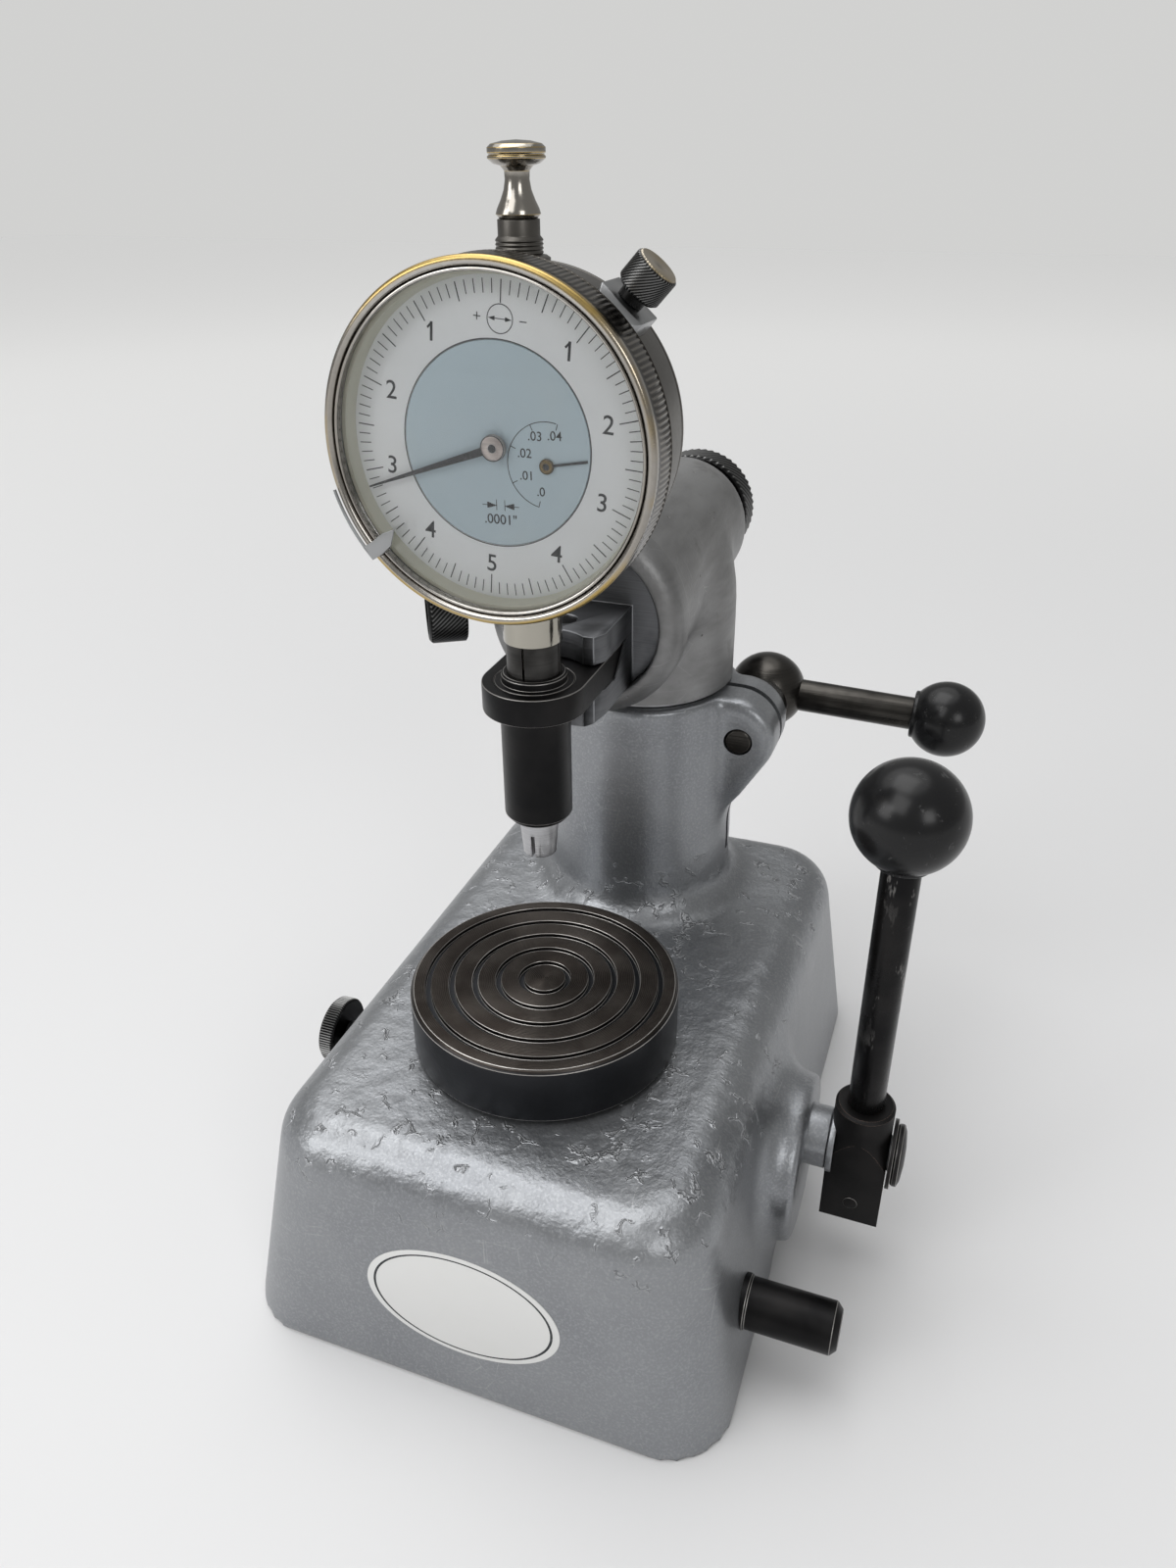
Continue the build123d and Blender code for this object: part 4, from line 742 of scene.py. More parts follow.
def column_body():
    """Upright column whose foot flares into the top of the base and stays inside its back."""
    foot = COLUMN_RADIUS + FOOT_ROUND
    outline = [(0, 52), (foot, 52)] + arc(foot, BASE_HEIGHT + FOOT_ROUND, FOOT_ROUND, 270, 180, 10)
    bm = spun(outline + [(COLUMN_RADIUS, COLUMN_TOP), (0, COLUMN_TOP)], 180, (0, COLUMN_Y, 0))
    for vert in bm.verts:
        level = min(vert.co.z / MM - BASE_HEIGHT + BASE_ROUND, BASE_ROUND) / BASE_ROUND
        limit = max(base_reach(BASE_BACK, asin(level)) - 0.4, COLUMN_Y + COLUMN_RADIUS)
        vert.co.y = min(vert.co.y, limit * MM)
    return bm


def ear_body():
    """Ear beside the column: a lug whose rims are rounded."""
    lug = arc(EAR_X, BOLT_PLACE[2], EAR_RADIUS, 90, -30.9, 22)
    bm = slab(lug + [(24, 84), (8, 84), (8, COLUMN_TOP)], EAR_FRONT, EAR_BACK)
    rims = [
        edge
        for edge in bm.edges
        if max(v.co.x for v in edge.verts) > 24.5 * MM and abs(edge.verts[0].co.y - edge.verts[1].co.y) < MM
    ]
    bevel(bm, rims, 2.4, 5)
    return bm


def boss_body():
    """Round boss on the right-hand side around the lever shaft, kept inside the wall above and below."""
    bm = spun([(0, 42), (29.0, 42)] + BOSS_NOSE + [(0, 60.6)], 120, BOSS_PLACE, RIGHT)
    lowest, highest = 1.0, 49.0
    for vert in bm.verts:
        rise = vert.co.z / MM
        if rise < lowest + 3 or rise > highest - 2:
            wall = base_reach(BASE_RIGHT, None, max(rise, 0.0)) - 0.6
            vert.co.x = min(vert.co.x, wall * MM)
        vert.co.z = min(max(vert.co.z, lowest * MM), highest * MM)
    return bm


def base_blends():
    """Corners of the casting that the mould rounded: a test for a point and a number of rounds."""

    def from_column(p):
        return hypot(p.x, p.y - COLUMN_Y)

    def beside_ear(width):
        return lambda p: abs(from_column(p) - COLUMN_RADIUS) < width and p.x > 17 and 76 < p.z < 115

    def round_boss(width):
        return lambda p: abs(hypot(p.y - BOSS_PLACE[1], p.z - BOSS_PLACE[2]) - 22) < width and 44 < p.x < 57

    def column_foot(width):
        return lambda p: abs(from_column(p) - 28) < 2 + width and 50 < p.z < 62 and p.y > 80

    return [
        (beside_ear(5.0), 12),
        (beside_ear(3.5), 20),
        (beside_ear(2.0), 20),
        (round_boss(7.0), 20),
        (round_boss(4.0), 20),
        (round_boss(2.5), 12),
        (column_foot(6.0), 12),
        (column_foot(3.0), 16),
        (lambda p: True, 3),
    ]


def base_casting():
    """The painted casting, with its bore, slit and holes cut after the skin is smooth."""
    skin = cast_skin([base_body(), column_body(), ear_body(), boss_body()], 1.05, base_blends())
    wall = 7.0
    pocket = lofted([base_section(height=-1.0, inset=wall), base_section(height=6.0, inset=wall)])
    bore = bar((0, COLUMN_Y, 0), UP, 16.06, 60, 120)
    spindle_hole = bar((0, 0, 0), UP, 9.57, 40, 60)
    rack_hole = bar((12, 22, 0), UP, 6.57, 40, 60)
    lock_hole = bar((0, 3, 38), RIGHT, 4.6, -70, -51.9)
    skin = cut(skin, [pocket, bore, spindle_hole, rack_hole, lock_hole])
    slit = slab([(0, 70), (40, 70), (40, 122), (0, 122)], 70, 72)
    spot_face = bar(BOLT_PLACE, BACK, 7.7, EAR_BACK, 97)
    skin = cut(skin, [slit, spot_face])
    skin = cut(skin, [bar(BOLT_PLACE, BACK, 3.55, 50, 90)])
    finished("base_casting_dressed", "base_casting", skin, PAINT, sharp=42)


# Head casting: a level barrel over an upright neck
NECK_RADIUS = 22.4
NECK_FOOT = 119.1
BARREL_FRONT, BARREL_BACK = 33.0, 103.5
BARREL_WIDE, BARREL_NARROW = 20.5, 17.2
BARREL_EDGE = 1.4


def head_corner(width):
    """Test for a point in the corner between neck and barrel."""
    slope = (BARREL_NARROW - BARREL_WIDE) / (BARREL_BACK - BARREL_FRONT)

    def near(p):
        barrel = BARREL_WIDE + slope * (p.y - BARREL_FRONT)
        beside_neck = abs(hypot(p.x, p.y - COLUMN_Y) - NECK_RADIUS) < width
        beside_barrel = abs(hypot(p.x, p.z - HEAD_PLACE[2]) - barrel) < width
        return beside_neck and beside_barrel and p.z < HEAD_PLACE[2] + 10 and p.y > 36

    return near


def neck_body():
    """Upright neck, drawn in over the barrel so that its flanks meet it smoothly."""
    flanks = [(NECK_RADIUS, 115), (NECK_RADIUS, 143.3)] + arc(0, HEAD_PLACE[2], 18.03, 25.6, 154.4, 24)
    flanks += [(-NECK_RADIUS, 143.3), (-NECK_RADIUS, 115)]
    return cut(bar((0, COLUMN_Y, 0), UP, NECK_RADIUS, 115, 158, 180), [slab(flanks, 45, 97)], "INTERSECT")


def head_casting():
    """The bare casting, with a separate turned rim at its front."""
    outline = [(0, 27), (BARREL_WIDE, 27), (BARREL_WIDE, BARREL_FRONT)]
    outline += arc(BARREL_NARROW - BARREL_EDGE, BARREL_BACK - BARREL_EDGE, BARREL_EDGE, 0, 90, 5)
    barrel = spun(outline + [(0, BARREL_BACK)], 180, HEAD_PLACE, BACK)
    blends = [(head_corner(width), rounds) for width, rounds in ((9.0, 20), (7.0, 30), (5.0, 40), (3.0, 30))]
    skin = cast_skin([barrel, neck_body()], 0.72, blends + [(lambda p: True, 2)])
    below = bar((0, COLUMN_Y, 0), UP, 30, 105, NECK_FOOT)
    pocket = bar(HEAD_PLACE, BACK, 17.6, 20, 36)
    finished("head_casting_dressed", "head_casting", cut(skin, [below, pocket]), CAST, sharp=42)
    rim = [(17.06, 36.4), (17.06, 25.5)] + arc(17.5, 25.44, 0.44, 180, 270, 3)
    rim += arc(17.5, 29.2, 4.2, -84, 0, 12) + arc(21.1, 32.4, 0.6, 0, 80, 4) + [(20.4, 34.2), (19.0, 36.4)]
    turned("head", RIM_CAST, rim, HEAD_PLACE, BACK, 0.0, 180, "head_rim")


# Table
TABLE_RADIUS, TABLE_FOOT, TABLE_TOP, TABLE_CHAMFER = 30.0, 58.8, 73.05, 0.8
GROOVES, GROOVE_STEP, GROOVE_HALF, GROOVE_DEPTH = 5, 5.2, 0.62, 1.0


def table():
    """Round table with turned grooves."""
    flat = TABLE_RADIUS - TABLE_CHAMFER
    outline = [(0, TABLE_FOOT), (flat, TABLE_FOOT), (TABLE_RADIUS, TABLE_FOOT + TABLE_CHAMFER)]
    outline += [(TABLE_RADIUS, TABLE_TOP - TABLE_CHAMFER), (flat, TABLE_TOP)]
    bottom = TABLE_TOP - GROOVE_DEPTH
    for groove in range(GROOVES, 0, -1):
        inner, outer = groove * GROOVE_STEP - GROOVE_HALF, groove * GROOVE_STEP + GROOVE_HALF
        outline += [(outer, TABLE_TOP), (outer, bottom), (inner, bottom), (inner, TABLE_TOP)]
    turned("table", TABLE_STEEL, outline + [(0, TABLE_TOP)], edge=0.14, steps=192)


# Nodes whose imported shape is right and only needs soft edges, with the width in millimetres
PLAIN_NODES = (
    ("bottom_plate", MILLED, 0.3),
    ("bottom_screws", OXIDE, 0.1),
    ("spindle_bush", BRONZE, 0.2),
    ("rack_bush", BRONZE, 0.2),
    ("shaft_bush_inner", BRONZE, 0.2),
    ("lock_bush", OXIDE, 0.15),
    ("rack_rod", GROUND, 0.05),
    ("table_spindle", GROUND, 0.3),
    ("pinion", GROUND, 0.05),
    ("lever_shaft", PAINT, 0.25),
    ("head_post", GROUND, 0.1),
    ("rear_washer", MILLED, 0.2),
    ("arm_screw", OXIDE, 0.2),
    ("eye_screw", OXIDE, 0.1),
    ("plunger", GROUND, 0.1),
    ("shaft_bush_outer", PAINT, 0.3),
    ("collet", DARK_MILLED, 0.06),
    ("probe_collar", GROUND, 0.1),
    ("arm_carrier", MILLED, 0.35),
)

# Lever: its hub is a square bar of this half width, and its rod stands in the hub
HUB_HALF = 6.62
ROD_RADIUS = 4.0
LEVER_BALL = (LEVER[0], LEVER[1], 122.7)


def lever_hub():
    """Square bar turned round at its top, so that each flat runs out in an arch."""
    corner, neck, top = 9.9, 6.64, 48.0
    outline = [(0, 17), (corner, 17), (corner, 33.5), (neck, 40.5), (neck, top - 0.6), (6.0, top)]
    outline += [(ROD_RADIUS + 0.02, top), (ROD_RADIUS + 0.02, top - 1.5), (0, top - 1.5)]
    bm = spun(outline, 128)
    for way in (RIGHT, -RIGHT, BACK, -BACK):
        made = bmesh.ops.bisect_plane(
            bm,
            geom=bm.verts[:] + bm.edges[:] + bm.faces[:],
            dist=1e-7,
            plane_co=way * HUB_HALF * MM,
            plane_no=way,
            clear_outer=True,
        )
        edges = [part for part in made["geom_cut"] if isinstance(part, bmesh.types.BMEdge)]
        bmesh.ops.contextual_create(bm, geom=edges)
    bmesh.ops.recalc_face_normals(bm, faces=bm.faces)
    bmesh.ops.translate(bm, vec=Vector(LEVER) * MM, verts=bm.verts)
    soften(bm, 0.3, 25, 2)
    finished("lever_hub_dressed", "lever_hub", bm, MATT_OXIDE, sharp=30)


def knob_ball(node, place, way, radius, bore, seat, depth):
    """Moulded ball with a flat, beaded foot around its rod."""
    collar = bore + 1.9
    outline = [(0, depth - radius), (bore, depth - radius), (bore, -seat)]
    outline += [(collar - 0.3, -seat), (collar, 0.3 - seat)]
    outline += arc(0, 0, radius, -degrees(acos(collar / radius)), 90, 36)[:-1] + [(0, radius)]
    turned(node, BALL, outline, place, way, 0.12, 96)


def lever_parts():
    """Stop pin, and the lever from its hub to its ball."""
    stop = [(0, 44), (5.9, 44), (5.9, 55.4), (5.5, 55.8), (5.5, 73.9), (4.1, 75.3)]
    stop += [(1.3, 75.3), (1.1, 75.0), (0, 75.0)]
    turned("stop_pin", OXIDE, stop, (0, -24, 17.5), RIGHT, 0.22, 96)
    reach = HUB_HALF + 0.1
    pin = [(0, -reach), (1.65, -reach), (1.65, reach), (0, reach)]
    turned("hub_pin", OXIDE, pin, (LEVER[0], LEVER[1], 22.5), BACK, 0.12, 48)
    rod = [(0, 40), (ROD_RADIUS, 40), (ROD_RADIUS, 117.2), (0, 117.2)]
    turned("lever_rod", RUBBED_OXIDE, rod, LEVER, UP, 0.1, 96)
    lever_hub()
    washer = [(0, 79.05), (7.9, 79.05), (7.9, 80.0), (0, 80.0)]
    turned("lever_washer", OXIDE, washer, SHAFT, RIGHT, 0.2, 96)
    cap = [(0, 80.0), (6.6, 80.0), (7.0, 80.4), (7.0, 81.4), (5.6, 82.0), (2.2, 82.4), (0, 82.4)]
    turned("lever_cap", OXIDE, cap, SHAFT, RIGHT, 0.2, 96)
    knob_ball("lever_ball", LEVER_BALL, UP, 11.5, ROD_RADIUS + 0.02, 10.6, 6.0)


# Clamp lever, which leans down a little
CLAMP_LEAN = radians(1.8)
CLAMP_WAY = Vector((cos(CLAMP_LEAN), 0, -sin(CLAMP_LEAN)))
CLAMP_HUB = Vector((BOLT_PLACE[0], 94.2, BOLT_PLACE[2]))
CLAMP_REACH = 46.9
CLAMP_ARM = 4.2
HUB_BALL = 10.1
BOLT_RADIUS = 3.42


def clamp_parts():
    """Bolt through the ears with its washer, ball-shaped hub, arm and ball."""
    knob_ball("clamp_ball", CLAMP_HUB + CLAMP_REACH * CLAMP_WAY, CLAMP_WAY, 9.7, CLAMP_ARM + 0.02, 8.5, 5.0)
    arm = [(0, 7), (CLAMP_ARM, 7), (CLAMP_ARM, 43.5), (0, 43.5)]
    turned("clamp_arm", CLAMP_STEEL, arm, CLAMP_HUB, CLAMP_WAY, 0.1, 72)
    turns = [radians(angle) for angle in range(36, 155, 4)]
    hub = [(0, 84.4), (5.5, 84.4)] + [(HUB_BALL * sin(a), CLAMP_HUB.y - HUB_BALL * cos(a)) for a in turns]
    hub += [(3.4, CLAMP_HUB.y + 9.3), (0, CLAMP_HUB.y + 9.3)]
    turned("clamp_hub", CLAMP_STEEL, hub, BOLT_PLACE, BACK, 0.1, 96)
    washer = [(BOLT_RADIUS, 80.2), (7.5, 80.2), (7.5, 84.2), (BOLT_RADIUS, 84.2)]
    turned("clamp_washer", CLAMP_STEEL, washer, BOLT_PLACE, BACK, 0.35, 96)
    bolt = [(0, 60.9), (2.9, 60.9), (BOLT_RADIUS, 61.4), (BOLT_RADIUS, 98.2), (0, 98.2)]
    turned("clamp_bolt", CLAMP_STEEL, bolt, BOLT_PLACE, BACK, 0.08, 72)


# Knurled screws and knobs of the stand
THUMB_TURN = radians(31.5)
THUMB_WAY = Vector((cos(THUMB_TURN), sin(THUMB_TURN), 0))
THUMB_PLACE = (-27.0, 26.0, HEAD_PLACE[2])


def knurled_screws():
    """Table lock with its thread, thumb screw of the head, and rear knob."""
    disc = [(0, -60.1), (5.2, -60.1), (5.7, -60.5), (7.7, -60.5)]
    screw = [(7.7, -56.5), (3.6, -56.5)] + thread(2.75, -56.4, -51.0, 0.8, 0.32) + [(2.75, -46), (0, -46)]
    outline = (disc, band(8.3, -59.9, -57.1, 2), screw)
    knurled("table_lock_dressed", "table_lock_screw", DISC_STEEL, outline, (0, 3, 38), RIGHT, 78, 0.38, False)
    face = [(0, -7.6), (5.6, -7.6), (5.6, -8.4), (6.5, -8.4), (7.0, -8.0)]
    shank = [(6.7, -0.1), (6.2, 0), (2.5, 0), (2.5, 10), (0, 10)]
    outline = (face, band(7.3, -7.6, -0.5, 14), shank)
    knurled("head_lock_dressed", "head_lock_screw", THUMB_STEEL, outline, THUMB_PLACE, THUMB_WAY, 46, 0.36)
    neck = [(0, 106.1), (8, 106.1), (8, 112.5), (14.3, 112.5)]
    face = [(14.3, 121.5), (11.5, 121.5), (11.0, 121.1), (0, 121.1)]
    outline = (neck, band(15.1, 113.2, 120.8, 8), face)
    knurled("rear_knob_dressed", "rear_knob", REAR_STEEL, outline, HEAD_PLACE, BACK, 50, 0.50)


def eye_plate():
    """Flat bar whose rounded end carries the eye for the gauge."""
    half, bore, low, high, back = 10.25, 7.8, 140.5, 146.2, 27.0
    corner = atan(back / half)
    angles = sorted({pi * step / 60 for step in range(120)} | {corner, pi - corner})

    def outer(angle):
        x, y = cos(angle), sin(angle)
        if y <= 0:
            return half
        return min(half / abs(x) if abs(x) > 1e-6 else back, back / y)

    wall = [[(outer(a) * cos(a), outer(a) * sin(a), z) for a in angles] for z in (low, high)]
    hole = [[(bore * cos(a), bore * sin(a), z) for a in angles] for z in (high, low)]
    bm = lofted(wall + hole, ring=True)
    soften(bm, 0.5, 40)
    finished("arm_plate_dressed", "arm_plate", bm, OXIDE)


# Gauge case and dial: distances along the gauge are from its middle, to the back
CASE_RADIUS = 26.5
DIAL_FACE = -12.6
CENTRE_RADIUS, RING_RADIUS, CRYSTAL_RADIUS = 16.4, 26.8, 27.0


def gauge_body():
    """Holder, stem, case and back, all turned."""
    holder = [(4.05, 116.0), (5.9, 116.0), (6.9, 117.2), (6.9, 140.5), (7.75, 140.5), (7.75, 146.2)]
    holder += [(6.4, 146.2), (6.4, 147.6), (6.0, 148.0), (5.22, 148.0), (5.22, 141.0), (4.05, 141.0)]
    turned("gauge_holder", OXIDE, holder, edge=0.18, name="holder_dressed")
    stem = [(1.95, 122), (4.0, 122), (4.0, 154.4), (5.6, 154.4), (5.6, 168.6), (1.95, 168.6)]
    turned("stem", CHROME, stem)
    bead = [(CASE_RADIUS, 4.9), (CASE_RADIUS - 0.2, 5.1), (CASE_RADIUS, 5.3), (CASE_RADIUS, 6)]
    case = [(0.85, -11.8), (CASE_RADIUS, -11.8)] + bead + [(24, 6), (24, -9.3), (0.85, -9.3)]
    turned("dial_case", NICKEL, case, DIAL, BACK, 0.12, 180, "case_dressed")
    back = [(0, 4.5), (23.9, 4.5), (23.9, 6), (CASE_RADIUS, 6)]
    back += [(25.4, 8.2), (22.4, 8.2), (22.0, 7.9), (0, 7.9)]
    turned("case_back", NICKEL, back, DIAL, BACK, 0.3, 180)


def dial_plates():
    """Middle of the dial, bezel, crystal, cream ring and the ring that turns with the bezel."""
    centre = [(0.85, DIAL_FACE), (CENTRE_RADIUS, DIAL_FACE), (CENTRE_RADIUS, -11.8), (0.85, -11.8)]
    turned("dial_centre", BLUE_PRINT, centre, DIAL, BACK, 0.05, 160)
    front = [(27.05, -16.0), (26.75, -16.05), (26.75, -16.9)] + arc(27.0, -17.15, 0.3, 180, 330, 6)
    front += [(27.4, -16.75)] + arc(28.25, -17.1, 0.78, 180, 360, 12) + [(28.75, -15.6)]
    rest = [(29.0, -9.3), (28.8, -9.1), (28.5, -9.5), (27.05, -9.5)]
    outline = (front, band(28.95, -14.6, -9.6, 1), rest)
    knurled("bezel_dressed", "bezel", BEZEL_CHROME, outline, DIAL, BACK, 190, 0.16, False)
    crystal = [(0, -16), (CRYSTAL_RADIUS, -16), (CRYSTAL_RADIUS, -15.4), (0, -15.4)]
    turned("crystal", CRYSTAL, crystal, DIAL, BACK, 0.05, 160)
    cream = [(26.3, -15.3), (CRYSTAL_RADIUS, -15.3), (CRYSTAL_RADIUS, DIAL_FACE), (25.9, DIAL_FACE)]
    turned("crystal_ring", CREAM, cream, DIAL, BACK, 0.0, 160)
    ring = [(16.5, DIAL_FACE), (RING_RADIUS, DIAL_FACE), (RING_RADIUS, -12.1), (16.5, -12.1)]
    turned("dial_ring", WHITE_PRINT, ring, DIAL, BACK, 0.05, 180)


def gauge_top():
    """Threaded bush and lifting cap on top of the case."""
    bush = [(1.95, 214.3), (3.4, 214.3), (3.4, 219.3), (5.0, 219.3), (5.0, 219.9), (4.4, 220.3)]
    bush += thread(3.9, 220.4, 223.1, 0.6, 0.22) + [(3.4, 223.1), (3.4, 225.5), (1.95, 225.5)]
    turned("top_bush", NICKEL, bush, edge=0.08, steps=96)
    waist = [(3.1, 225.6), (3.6, 226.2), (3.35, 227.0), (2.75, 228.2), (2.2, 229.6), (1.95, 231.0)]
    head = [(2.0, 232.2), (2.6, 232.9), (3.7, 233.2), (4.55, 233.9), (4.55, 234.2), (4.3, 234.4), (4.55, 234.7)]
    crown = [(4.55, 235.4), (4.0, 235.9), (2.2, 236.3), (0, 236.45)]
    turned("lift_cap", CAP_CHROME, [(0, 225.6)] + waist + head + crown, edge=0.07, steps=96)


def case_lug():
    """Block on the case whose front edges are bevelled broadly."""
    side = Vector((-LUG_WAY.z, 0, LUG_WAY.x))

    def rectangle(high, half, y):
        corners = ((26.0, -half), (high, -half), (high, half), (26.0, half))
        return [LUG_WAY * r + side * s + Vector((0, y, DIAL[2])) for r, s in corners]

    bm = lofted([rectangle(28.5, 3.4, -8.9), rectangle(29.5, 4.4, -7.6), rectangle(29.5, 4.4, 0.6)])
    soften(bm, 0.22, 25, 2)
    finished("case_lug_dressed", "case_lug", bm, LUG_NICKEL, sharp=30)


def bezel_lock():
    """Small knurled knob on the lug, worn to brass on its face."""
    neck = [(0, 26.8), (1.5, 26.8), (1.5, 29.7), (2.2, 29.7), (2.2, 31.3), (3.3, 31.3)]
    outline = (neck, band(3.8, 31.8, 36.0, 14), [(3.3, 36.5), (2.6, 36.45), (0, 36.3)])
    place = (DIAL[0], -4, DIAL[2])
    knurled("bezel_lock_dressed", "bezel_lock_knob", LOCK_STEEL, outline, place, LUG_WAY, 42, 0.20)


def hands():
    """The main hand and the counter hand, each with its turned hub."""
    refined("pointer", INK, 0.03)
    hub = [(0, -14.05), (0.5, -14.0), (0.75, -14.3), (1.7, -14.3), (2.15, -14.1), (2.15, -13.3), (0, -13.3)]
    turned("main_hand", HUB_SILVER, hub, DIAL, BACK, 0.06, 64, "pointer_hub")
    refined("small_pointer", INK, 0.03)
    hub = [(0, -13.1), (0.45, -13.1), (0.6, -13.3), (1.0, -13.3), (1.25, -13.1), (1.25, -12.75), (0, -12.75)]
    counter = (COUNTER.x, 0.0, DIAL[2] + COUNTER.y)
    turned("counter_hand", BRONZE, hub, counter, BACK, 0.05, 48, "small_pointer_hub")


# Printing on the dial, in millimetres from its middle
DIAL_TURN = radians(-5.0)
ZERO = pi / 2 + DIAL_TURN
PRINT_FRONT = -12.62
PRINT_THICK = 0.03
MARK_END = 25.3
COUNTER = Vector((9.0, -2.5))
COUNTER_RADIUS = 7.0


def polar(angle, radius=1.0):
    return Vector((cos(angle), sin(angle))) * radius


def stroke(bm, start, end, width):
    """Straight printed line between two points."""
    start, end = Vector(start), Vector(end)
    way = end - start
    turn = Matrix.Rotation(-atan2(way.y, way.x), 4, "Y")
    middle = Vector(((start.x + end.x) / 2, PRINT_FRONT, (start.y + end.y) / 2 + DIAL[2]))
    size = Matrix.Diagonal((way.length * MM, PRINT_THICK * MM, width * MM, 1))
    bmesh.ops.create_cube(bm, size=1.0, matrix=Matrix.Translation(middle * MM) @ turn @ size)


def crossing(bm, middle, way, half, width):
    """Printed line through a point, as far to both sides."""
    stroke(bm, middle - way * half, middle + way * half, width)


def bow(bm, centre, radius, start, end, width, count):
    """Printed arc made of short lines, angles in degrees."""
    points = arc(centre[0], centre[1], radius, start, end, count)
    for first, second in zip(points, points[1:]):
        stroke(bm, first, second, width)


def arrow(bm, tip, way, length):
    """Small solid arrow head."""
    side = Vector((-way.y, way.x))
    for share in (0.15, 0.35, 0.55, 0.75, 0.95):
        crossing(bm, tip - way * length * share, side, length * 0.32 * share, length * 0.24)


def letters(name, body, words):
    """Printed words, each given with its place, height and turn."""
    bm = bmesh.new()
    for text, place, size, turn in words:
        curve = bpy.data.curves.new("type", "FONT")
        curve.body = text
        curve.size = size * MM
        curve.align_x = "CENTER"
        curve.align_y = "CENTER"
        curve.offset = 0.004 * size * MM
        curve.extrude = PRINT_THICK * MM / 2
        made = shaped(linked("type", curve))
        stand = Matrix.Rotation(-turn, 4, "Y") @ Matrix.Rotation(pi / 2, 4, "X")
        made.transform(Matrix.Translation(Vector((place.x, PRINT_FRONT, place.y + DIAL[2])) * MM) @ stand)
        bm.from_mesh(made)
    finished(name, body, bm, INK, smooth=False)


def direction_sign(lines):
    """Circle with a double arrow under the zero, between a plus and a minus."""
    centre, across = polar(ZERO, 19.6), polar(ZERO + pi / 2)
    bow(lines, centre, 2.15, 0, 360, 0.14, 36)
    crossing(lines, centre, across, 1.9, 0.12)
    for side in (-1, 1):
        arrow(lines, centre + across * 1.95 * side, across * side, 1.0)
        crossing(lines, centre + across * 3.9 * side, across, 0.6, 0.16)
    crossing(lines, centre + across * 3.9, centre.normalized(), 0.6, 0.16)


def ring_print():
    """Graduations and numbers on the ring that turns with the bezel."""
    lines = bmesh.new()
    long, middling, short = (3.4, 0.18), (2.9, 0.18), (2.1, 0.145)
    for mark in range(100):
        length, width = long if mark % 10 == 0 else middling if mark % 5 == 0 else short
        way = polar(ZERO - 2 * pi * mark / 100)
        stroke(lines, way * (MARK_END - length), way * MARK_END, width)
    direction_sign(lines)
    bow(lines, (0, 0), 16.62, 0, 360, 0.16, 120)
    words = []
    for mark in range(1, 10):
        place = polar(ZERO - 2 * pi * mark / 10, 20.0)
        words.append((str(min(mark, 10 - mark)), place, 4.2, DIAL_TURN))
        if mark in (1, 9):
            upright = polar(ZERO)
            flag = place + 1.40 * upright
            stroke(lines, flag, flag - 0.75 * upright - 0.70 * polar(DIAL_TURN), 0.34)
    letters("ring_numbers", "bezel_ring", words)
    finished("ring_graduations", "bezel_ring", lines, INK, smooth=False)


def counter_print():
    """Counter scale and the value of one division, on the middle of the dial."""
    lines = bmesh.new()
    words = [(".0001\"", Vector((0.3, -12.1)), 2.35, 0.0)]
    bow(lines, COUNTER, COUNTER_RADIUS, 76, 256.5, 0.13, 40)
    for text, line_bearing, bearing, reach in (
        (".0", 193.6, 196, 4.5),
        (".01", 243, 243, 4.1),
        (".02", 294, 294, 4.3),
        (".03", 336, 336, 5.0),
        (".04", 376, 376, 5.0),
    ):
        way = polar(radians(90 - line_bearing))
        stroke(lines, COUNTER + way * (COUNTER_RADIUS - 1), COUNTER + way * COUNTER_RADIUS, 0.13)
        words.append((text, COUNTER + polar(radians(90 - bearing), reach), 2.1, 0.0))
    for side in (-1, 1):
        foot = Vector((0.4 + 0.75 * side, -9.6))
        start = foot - Vector((0, 0.1))
        crossing(lines, foot, Vector((0, 1)), 0.9, 0.11)
        stroke(lines, start, start + Vector((2.6 * side, 0)), 0.11)
        arrow(lines, start, Vector((-side, 0)), 1.6)
    finished("counter_scale", "gauge", lines, INK, smooth=False)
    letters("counter_numbers", "gauge", words)


def marker():
    """Sliding tolerance marker: a flat flag with a sprung wire that follows the rim of the bezel."""
    bm = bmesh.new()
    wire = [Vector((x, -18.15, z)) for x, z in arc(0, 0, 29.1, 196, 219, 16)]
    thick = 0.28 * MM
    for start, end in zip(wire, wire[1:]):
        way = end - start
        place = axis_matrix((start + end) / 2 + Vector(DIAL), way.normalized())
        depth = way.length * 1.06 * MM
        bmesh.ops.create_cone(
            bm, cap_ends=True, segments=10, radius1=thick, radius2=thick, depth=depth, matrix=place
        )
    flag = [(29.4, -1.5), (29.4, 1.2), (27.0, 1.5), (24.6, 1.4), (22.0, -0.3), (24.4, -1.1), (26.8, -1.2)]
    side = polar(radians(219.7))
    turn = Vector((-side.y, side.x))
    points = [side * r + turn * s for r, s in flag]
    plate = slab([(p.x, p.y + DIAL[2]) for p in points], -18.3, -17.95)
    soften(plate, 0.08)
    mesh = bpy.data.meshes.new("flag")
    plate.to_mesh(mesh)
    bm.from_mesh(mesh)
    finished("tolerance_marker_dressed", "tolerance_marker", bm, LUG_NICKEL)


# Bare oval plate on the front
LABEL_HEIGHT = 26.2
LABEL_SIZE = (22.0, 13.5)


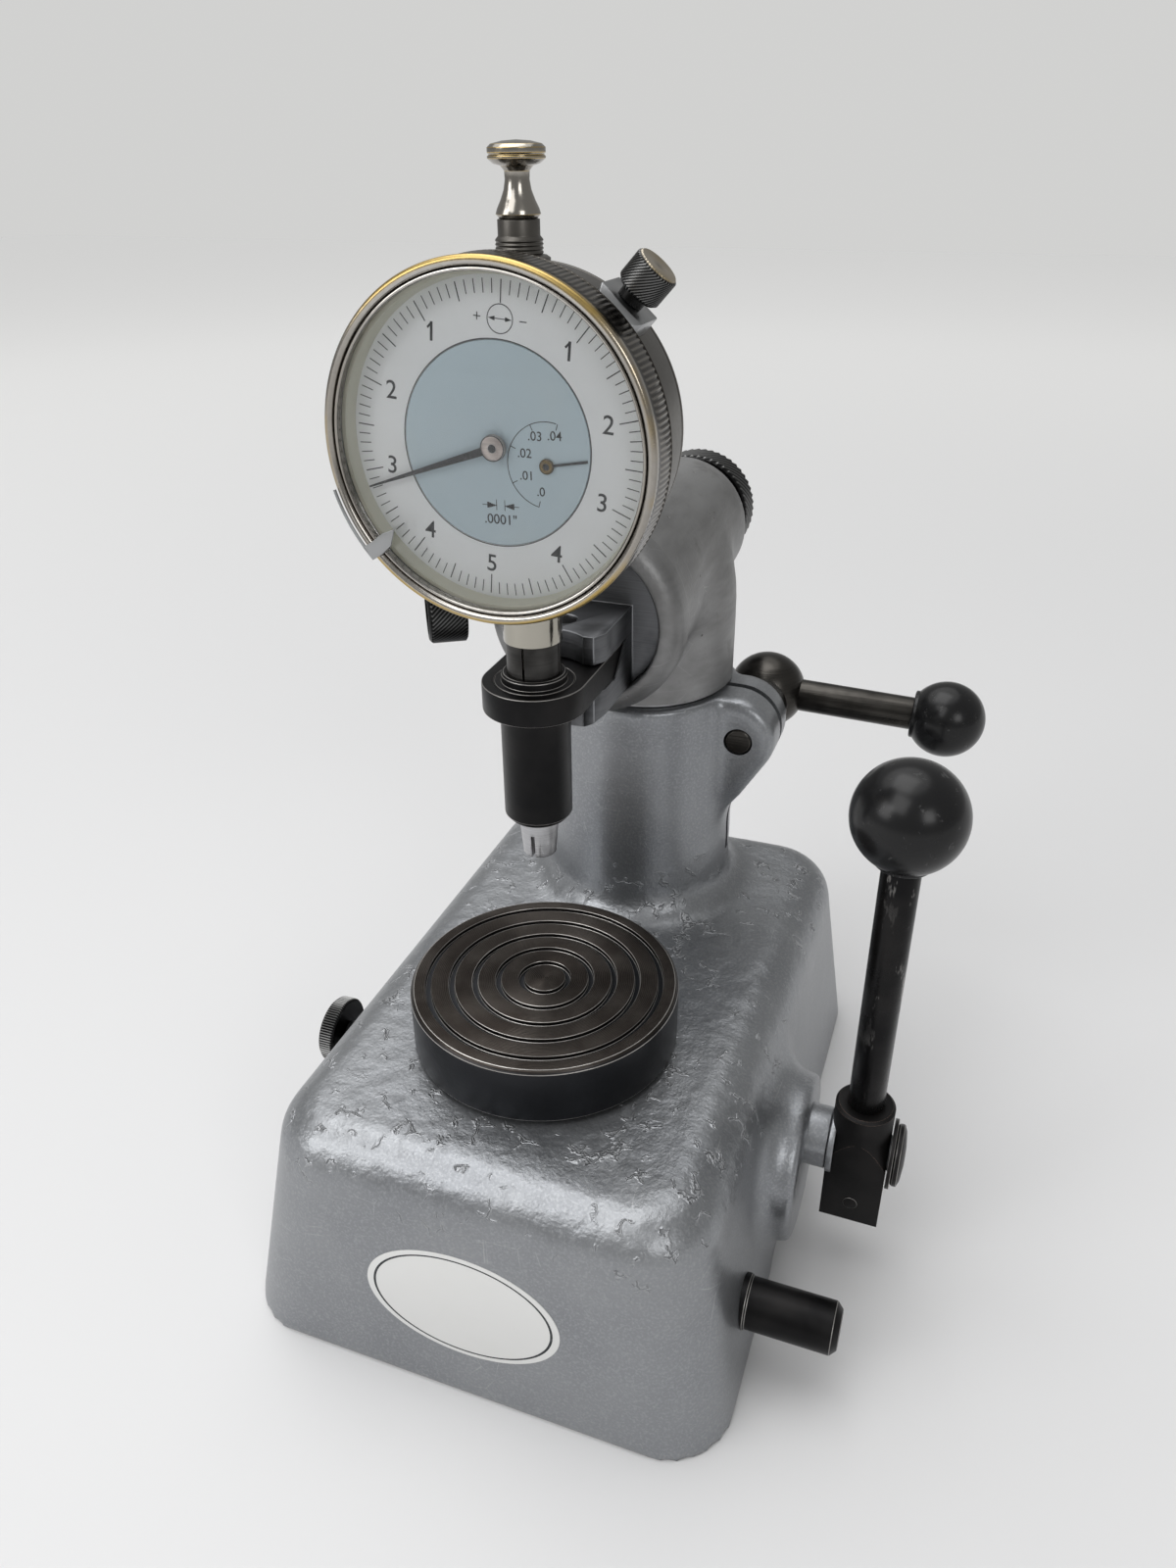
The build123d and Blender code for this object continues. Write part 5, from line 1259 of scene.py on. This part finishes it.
def label_plate():
    """Thin oval that lies on the leaning front face, with a plain line near its edge."""
    lean = atan(BASE_FRONT[1] / BASE_HEIGHT)
    place = Vector((0.9, -base_reach(BASE_FRONT, None, LABEL_HEIGHT) - 0.02, LABEL_HEIGHT))
    stand = Matrix.Translation(place * MM) @ Matrix.Rotation(pi / 2 - lean, 4, "X")
    plate = bmesh.new()
    bmesh.ops.create_cone(plate, cap_ends=True, segments=96, radius1=MM, radius2=MM, depth=MM)
    line = spun([(0.905, 0.120), (0.93, 0.120), (0.93, 0.140), (0.905, 0.140)], 96)
    for bm, thick in ((plate, 0.25), (line, 1.0)):
        bmesh.ops.scale(bm, vec=(*LABEL_SIZE, thick), verts=bm.verts)
        bmesh.ops.transform(bm, matrix=stand, verts=bm.verts)
    soften(plate, 0.08)
    finished("front_label", "base", plate, LABEL)
    finished("front_label_line", "base", line, INK, smooth=False)


def floor_plane():
    """Wide pale floor."""
    bm = bmesh.new()
    bmesh.ops.create_grid(bm, x_segments=1, y_segments=1, size=3.0)
    mesh = bpy.data.meshes.new("floor")
    bm.to_mesh(mesh)
    bm.free()
    mesh.materials.append(pale_bench().material)
    linked("floor", mesh)


def backdrop():
    """World light, which the camera alone sees as a paler backdrop."""
    light, seen_by_camera = 0.42, 0.80
    world = bpy.data.worlds.new("studio")
    bpy.context.scene.world = world
    world.use_nodes = True
    tree = world.node_tree
    sky = tree.nodes["Background"]
    sky.inputs["Color"].default_value = (0.80, 0.80, 0.79, 1.0)
    path = tree.nodes.new("ShaderNodeLightPath")
    strength = tree.nodes.new("ShaderNodeMapRange")
    strength.inputs["To Min"].default_value = light
    strength.inputs["To Max"].default_value = seen_by_camera
    tree.links.new(path.outputs["Is Camera Ray"], strength.inputs["Value"])
    tree.links.new(strength.outputs[0], sky.inputs["Strength"])


def lamps():
    """Four soft boxes, each with its place in metres, size and watts, and an even light over the floor."""
    middle = Vector((0.0, 0.03, 0.10))
    for name, place, size, power in (
        ("overhead_softbox", (-0.25, 0.15, 1.3), 0.8, 4.5),
        ("front_softbox", (-0.35, -0.75, 1.05), 0.7, 4),
        ("left_softbox", (-0.9, -0.8, 0.7), 0.6, 4),
        ("right_softbox", (0.9, -0.9, 0.8), 0.5, 3),
    ):
        lamp = bpy.data.lights.new(name, "AREA")
        lamp.shape = "SQUARE"
        lamp.size = size
        lamp.energy = power
        holder = linked(name, lamp)
        holder.location = place
        holder.rotation_euler = (middle - Vector(place)).to_track_quat("-Z", "Y").to_euler()
    even = bpy.data.lights.new("even_light", "SUN")
    even.energy = 1.15
    even.angle = radians(70)
    linked("even_light", even).rotation_euler = (radians(-12), radians(-14), 0)


def photo_camera():
    """Camera at the photograph's angle."""
    place = Vector((79.38, -183.92, 235.48)) * MM
    yaw, pitch, roll = radians(20.45), radians(29.4), radians(-0.56)
    focal_share = 0.7223
    forward = Vector((-sin(yaw) * cos(pitch), cos(yaw) * cos(pitch), -sin(pitch)))
    level = Vector((cos(yaw), sin(yaw), 0))
    upright = level.cross(forward)
    across = cos(roll) * level + sin(roll) * upright
    upward = cos(roll) * upright - sin(roll) * level
    camera = bpy.data.cameras.new("photo_camera")
    camera.sensor_width = 36.0
    camera.lens = focal_share * camera.sensor_width
    camera.clip_start = 0.01
    camera.clip_end = 20.0
    holder = linked("photo_camera", camera)
    holder.matrix_world = Matrix.Translation(place) @ Matrix((across, upward, -forward)).transposed().to_4x4()
    bpy.context.scene.camera = holder


# The stand, from its base to its dial
base_casting()
head_casting()
table()
for node, finish, edge in PLAIN_NODES:
    refined(node, finish, edge)
lever_parts()
clamp_parts()
knurled_screws()
eye_plate()
gauge_body()
dial_plates()
gauge_top()
case_lug()
bezel_lock()
hands()
ring_print()
counter_print()
marker()
label_plate()

# The studio
floor_plane()
backdrop()
lamps()
photo_camera()
bpy.context.scene.view_settings.view_transform = "Standard"
